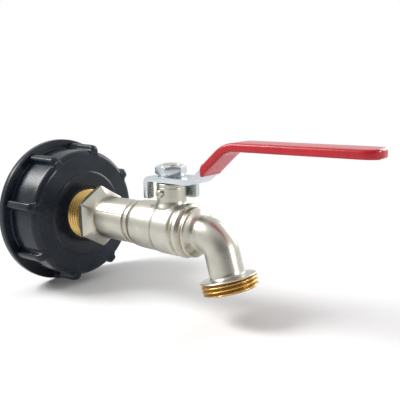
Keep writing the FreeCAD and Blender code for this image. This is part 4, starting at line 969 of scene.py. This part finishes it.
class TAP_OT_grip(bpy.types.Operator):
    """Build the dipped vinyl grip over the lever's rise and flat"""
    bl_idname = "tap.grip"
    bl_label = "Vinyl grip"

    def execute(self, context):
        sizes = context.scene.tap_lever
        half = LEVER_WIDTH / 2
        wall = GRIP_HIGH.y - half
        outer = self.skin(half + wall, LEVER_HALF + wall, wall, sizes.sleeve_round / MM, sizes.lip / MM)
        take_in(outer, self.skin(half, LEVER_HALF, 0.0, 0.25, 0.0))
        bmesh.ops.bridge_loops(outer, edges=boundary(outer, lambda p: p.x < GRIP_LOW.x + 0.6))
        bmesh.ops.recalc_face_normals(outer, faces=outer.faces)
        finish_piece(outer, "grip_sleeve", TURNING, "vinyl", "lever_sleeve", crease=60)
        return {"FINISHED"}

    def skin(self, half_width, half_height, extra, rounding, lip):
        """One skin of the sleeve, from its open end up the rise, round the bend and along to the tip."""
        bm = bmesh.new()
        wire(bm, [
            (-half_width, -half_height, rounding), (half_width, -half_height, rounding),
            (half_width, half_height, rounding), (-half_width, half_height, rounding)])
        divide(bm, 2.4)
        bmesh.ops.rotate(bm, verts=bm.verts, cent=(0, 0, 0), matrix=Matrix.Rotation(math.pi / 2, 3, "Z"))
        edges = self.open_end(bm, half_width, half_height, lip)
        edges = self.round_bend(bm, edges, half_height)
        edges = self.reach_tip(bm, edges, half_width, half_height, extra)
        bmesh.ops.contextual_create(bm, geom=edges)
        return bm

    def open_end(self, bm, half_width, half_height, lip):
        """Lay the outline at the foot of the rise and carry it up through the bulging lip."""
        slope, start = LEVER_SLOPE, GRIP_LOW.x
        tall = half_height / math.cos(slope)
        bmesh.ops.scale(bm, verts=bm.verts, vec=(1, 1, tall / half_height))
        height = LEVER_HEAD_Z - (LEVER_HEAD_X - start) * math.tan(slope)
        bmesh.ops.translate(bm, verts=bm.verts, vec=(start, 0, height))
        edges, verts = bm.edges[:], bm.verts[:]
        if lip:
            bmesh.ops.scale(
                bm, verts=verts, vec=(1, 1 - lip / half_width, 1 - lip / tall),
                space=Matrix.Translation((-start, 0, -height)))
        at = start
        plan = [(0.12, lip), (0.45, lip * 0.9), (0.9, 0), (1.5, -lip * 0.8), (2.4, 0), (4.0, 0), (LEAD_IN, 0)]
        for step, grow in plan if lip else [(0.8, 0), (3.0, 0), (LEAD_IN, 0)]:
            edges, verts = carry(bm, edges)
            move = start + step - at
            bmesh.ops.translate(bm, verts=verts, vec=(move, 0, move * math.tan(slope)))
            at = start + step
            centre = Vector((at, 0, height + step * math.tan(slope)))
            if grow:
                bmesh.ops.scale(
                    bm, verts=verts, vec=(1, 1 + grow / half_width, 1 + grow / tall),
                    space=Matrix.Translation(-centre))
        return edges

    def round_bend(self, bm, edges, half_height):
        """Carry the outline up to the upper bend, square it to the lever, and spin it level."""
        slope = LEVER_SLOPE
        tall = half_height / math.cos(slope)
        edges, verts = carry(bm, edges)
        bend_x = LEVER_HEAD_X - LEVER_TANGENT * math.cos(slope)
        bend_z = LEVER_HEAD_Z - LEVER_TANGENT * math.sin(slope)
        move = bend_x - (GRIP_LOW.x + LEAD_IN)
        bmesh.ops.translate(bm, verts=verts, vec=(move, 0, move * math.tan(slope)))
        for vert in verts:
            above = (vert.co.z - bend_z) / tall * half_height
            vert.co.x = bend_x - above * math.sin(slope)
            vert.co.z = bend_z + above * math.cos(slope)
        centre = (LEVER_HEAD_X + LEVER_TANGENT, 0, LEVER_HEAD_Z - LEVER_BEND)
        made = bmesh.ops.spin(
            bm, geom=verts + edges, cent=centre, axis=AXIS_Y, dvec=(0, 0, 0), angle=slope, steps=16,
            use_merge=False, use_duplicate=False)["geom_last"]
        return split(made)[0]

    def reach_tip(self, bm, edges, half_width, half_height, extra):
        """Carry the outline along the flat and narrow it round the tip."""
        tip = LEVER_TIP + extra
        shoulder = LEVER_HIGH.x - LEVER_TIP
        at = LEVER_HEAD_X + LEVER_TANGENT
        for _ in range(8):
            edges, verts = carry(bm, edges)
            bmesh.ops.translate(bm, verts=verts, vec=((shoulder - at) / 8, 0, 0))
        width, thick, place = half_width, half_height, shoulder
        for degrees in (12, 24, 36, 47, 57, 66, 73, 79, 84, 88):
            turn = math.radians(degrees)
            edges, verts = carry(bm, edges)
            target = half_width - tip * (1 - math.cos(turn))
            nose = half_height * (1 - 0.32 * max(0.0, math.sin(turn) - 0.86) / 0.14) if extra else half_height
            x = shoulder + tip * math.sin(turn)
            bmesh.ops.scale(
                bm, verts=verts, vec=(1, target / width, nose / thick),
                space=Matrix.Translation((0, 0, -LEVER_HEAD_Z)))
            bmesh.ops.translate(bm, verts=verts, vec=(x - place, 0, 0))
            width, thick, place = target, nose, x
        return edges


class TAP_OT_stage(bpy.types.Operator):
    """Set up the plain floor, the white surround, the soft lamps and the camera"""
    bl_idname = "tap.stage"
    bl_label = "Stage"

    def execute(self, context):
        scene = context.scene
        low, high = CAD_BOX
        middle = (low + high) / 2
        self.floor(scene, low.z, middle)
        self.surround(scene)
        self.lamps(scene, middle)
        self.camera(scene)
        scene.view_settings.view_transform = "Standard"
        return {"FINISHED"}

    def floor(self, scene, height, middle):
        """A wide pale floor that keeps the shadow and fades to white far from the tap."""
        bm = bmesh.new()
        bmesh.ops.create_grid(bm, x_segments=8, y_segments=8, size=6.0)
        bmesh.ops.translate(bm, verts=bm.verts, vec=(0, 0, height))
        mesh = bpy.data.meshes.new("floor")
        bm.to_mesh(mesh)
        bm.free()
        material, tree, shader, place = new_material("pale_floor")
        speckle = noise(tree, place, 60.0, 2.0)
        pale = blend_colours(tree, speckle, (0.86, 0.86, 0.86, 1), (0.88, 0.88, 0.88, 1))
        tree.links.new(pale, shader.inputs["Base Color"])
        shader.inputs["Roughness"].default_value = 0.8
        shader.inputs["Specular IOR Level"].default_value = 0.1
        flat = node(tree, "ShaderNodeMapping", ("Vector", place), ("Location", (-middle.x, -middle.y, -height)))
        away = node(tree, "ShaderNodeVectorMath", (0, flat.outputs[0]), operation="LENGTH").outputs["Value"]
        far = ramp(tree, away, 0.10, 0.42)
        rays = node(tree, "ShaderNodeLightPath").outputs
        seen = sums(tree, "MAXIMUM", rays["Is Camera Ray"], rays["Is Glossy Ray"])
        seen = sums(tree, "MAXIMUM", seen, rays["Is Transmission Ray"])
        white = node(tree, "ShaderNodeEmission", ("Color", (1, 1, 1, 1)), ("Strength", 1.0))
        mixed = node(
            tree, "ShaderNodeMixShader", (0, sums(tree, "MULTIPLY", far, seen)), (1, shader.outputs[0]),
            (2, white.outputs[0]))
        tree.links.new(mixed.outputs[0], tree.nodes["Material Output"].inputs["Surface"])
        mesh.materials.append(material)
        floor = bpy.data.objects.new("floor", mesh)
        scene.collection.objects.link(floor)

    def surround(self, scene):
        """A white surround that lights the tap plainly, with a shaded side to give the metal its darks."""
        world = bpy.data.worlds.new("white_surround")
        scene.world = world
        world.use_nodes = True
        tree = world.node_tree
        way = tree.nodes.new("ShaderNodeTexCoord").outputs["Generated"]
        dark = node(tree, "ShaderNodeVectorMath", (0, way), (1, (0.72, -0.68, 0.1)), operation="DOT_PRODUCT")
        shade = ramp(tree, dark.outputs["Value"], 0.45, 0.95, 1.0, 0.22)
        rays = tree.nodes.new("ShaderNodeLightPath").outputs
        shiny = sums(tree, "MAXIMUM", rays["Is Glossy Ray"], rays["Is Transmission Ray"])
        strength = sums(tree, "MULTIPLY", ramp(tree, shiny, 0.0, 1.0, 0.55, 0.92), shade)
        strength = sums(tree, "MAXIMUM", strength, rays["Is Camera Ray"])
        back = tree.nodes["Background"]
        back.inputs["Color"].default_value = (1, 1, 1, 1)
        tree.links.new(strength, back.inputs["Strength"])

    def lamps(self, scene, middle):
        """Key from the front left above, a strip from the right, and a soft lamp behind."""
        for name, way, far, size, power in (
                ("key_lamp", (-0.62, -0.42, 0.70), 0.75, 0.34, 5.5),
                ("right_lamp", (0.93, 0.28, 0.22), 0.9, 0.12, 2.0),
                ("back_lamp", (0.1, 0.95, 0.35), 0.9, 0.5, 3.0)):
            lamp = bpy.data.lights.new(name, "AREA")
            lamp.shape = "SQUARE"
            lamp.size = size
            lamp.energy = power
            thing = bpy.data.objects.new(name, lamp)
            direction = Vector(way).normalized()
            thing.location = middle + direction * far
            thing.rotation_euler = direction.to_track_quat("Z", "Y").to_euler()
            scene.collection.objects.link(thing)

    def camera(self, scene):
        """A camera slightly above the tap, in front of it and to the spout's side."""
        data = bpy.data.cameras.new("camera")
        data.lens = 53.711
        data.sensor_width = 36.0
        data.clip_start = 0.01
        camera = bpy.data.objects.new("camera", data)
        forward = Vector((-0.61690, 0.76511, -0.18452)).normalized()
        right = Vector((0.78064, 0.62467, -0.01969)).normalized()
        up = right.cross(forward)
        turn = Matrix((right, up, -forward)).transposed()
        camera.matrix_world = Matrix.Translation((0.269656, -0.207783, 0.065356)) @ turn.to_4x4()
        scene.collection.objects.link(camera)
        scene.camera = camera


class TAP_PT_panel(bpy.types.Panel):
    """Lists the tap's sizes, its finishes and its build steps"""
    bl_idname = "TAP_PT_panel"
    bl_label = "Tank Tap"
    bl_space_type = "VIEW_3D"
    bl_region_type = "UI"
    bl_category = "Tank Tap"

    def draw(self, context):
        layout = self.layout
        for step in STEPS:
            layout.operator(step.bl_idname)
        for name, kind in SETTINGS.items():
            box = layout.box()
            box.label(text=name.replace("_", " "))
            group = getattr(context.scene, name)
            for field in kind.__annotations__:
                box.prop(group, field)


STEPS = (TAP_OT_finishes, TAP_OT_cap, TAP_OT_inlet, TAP_OT_body, TAP_OT_lever, TAP_OT_grip, TAP_OT_stage)
SETTINGS = {"tap_cap": CapSizes, "tap_sizes": TapSizes, "tap_lever": LeverSizes, "tap_finishes": Finishes}


def register():
    """Register the settings, the build steps and the panel."""
    for kind in (*SETTINGS.values(), *STEPS, TAP_PT_panel):
        bpy.utils.register_class(kind)
    for name, kind in SETTINGS.items():
        setattr(bpy.types.Scene, name, PointerProperty(type=kind))


def unregister():
    """Take everything away again."""
    for name in SETTINGS:
        delattr(bpy.types.Scene, name)
    for kind in reversed((*SETTINGS.values(), *STEPS, TAP_PT_panel)):
        bpy.utils.unregister_class(kind)


def main():
    """Run every build step in order."""
    register()
    for step in STEPS:
        area, action = step.bl_idname.split(".")
        if getattr(getattr(bpy.ops, area), action)() != {"FINISHED"}:
            raise RuntimeError(step.bl_label + " did not finish")
    bpy.context.view_layer.update()


if __name__ == "__main__":
    main()
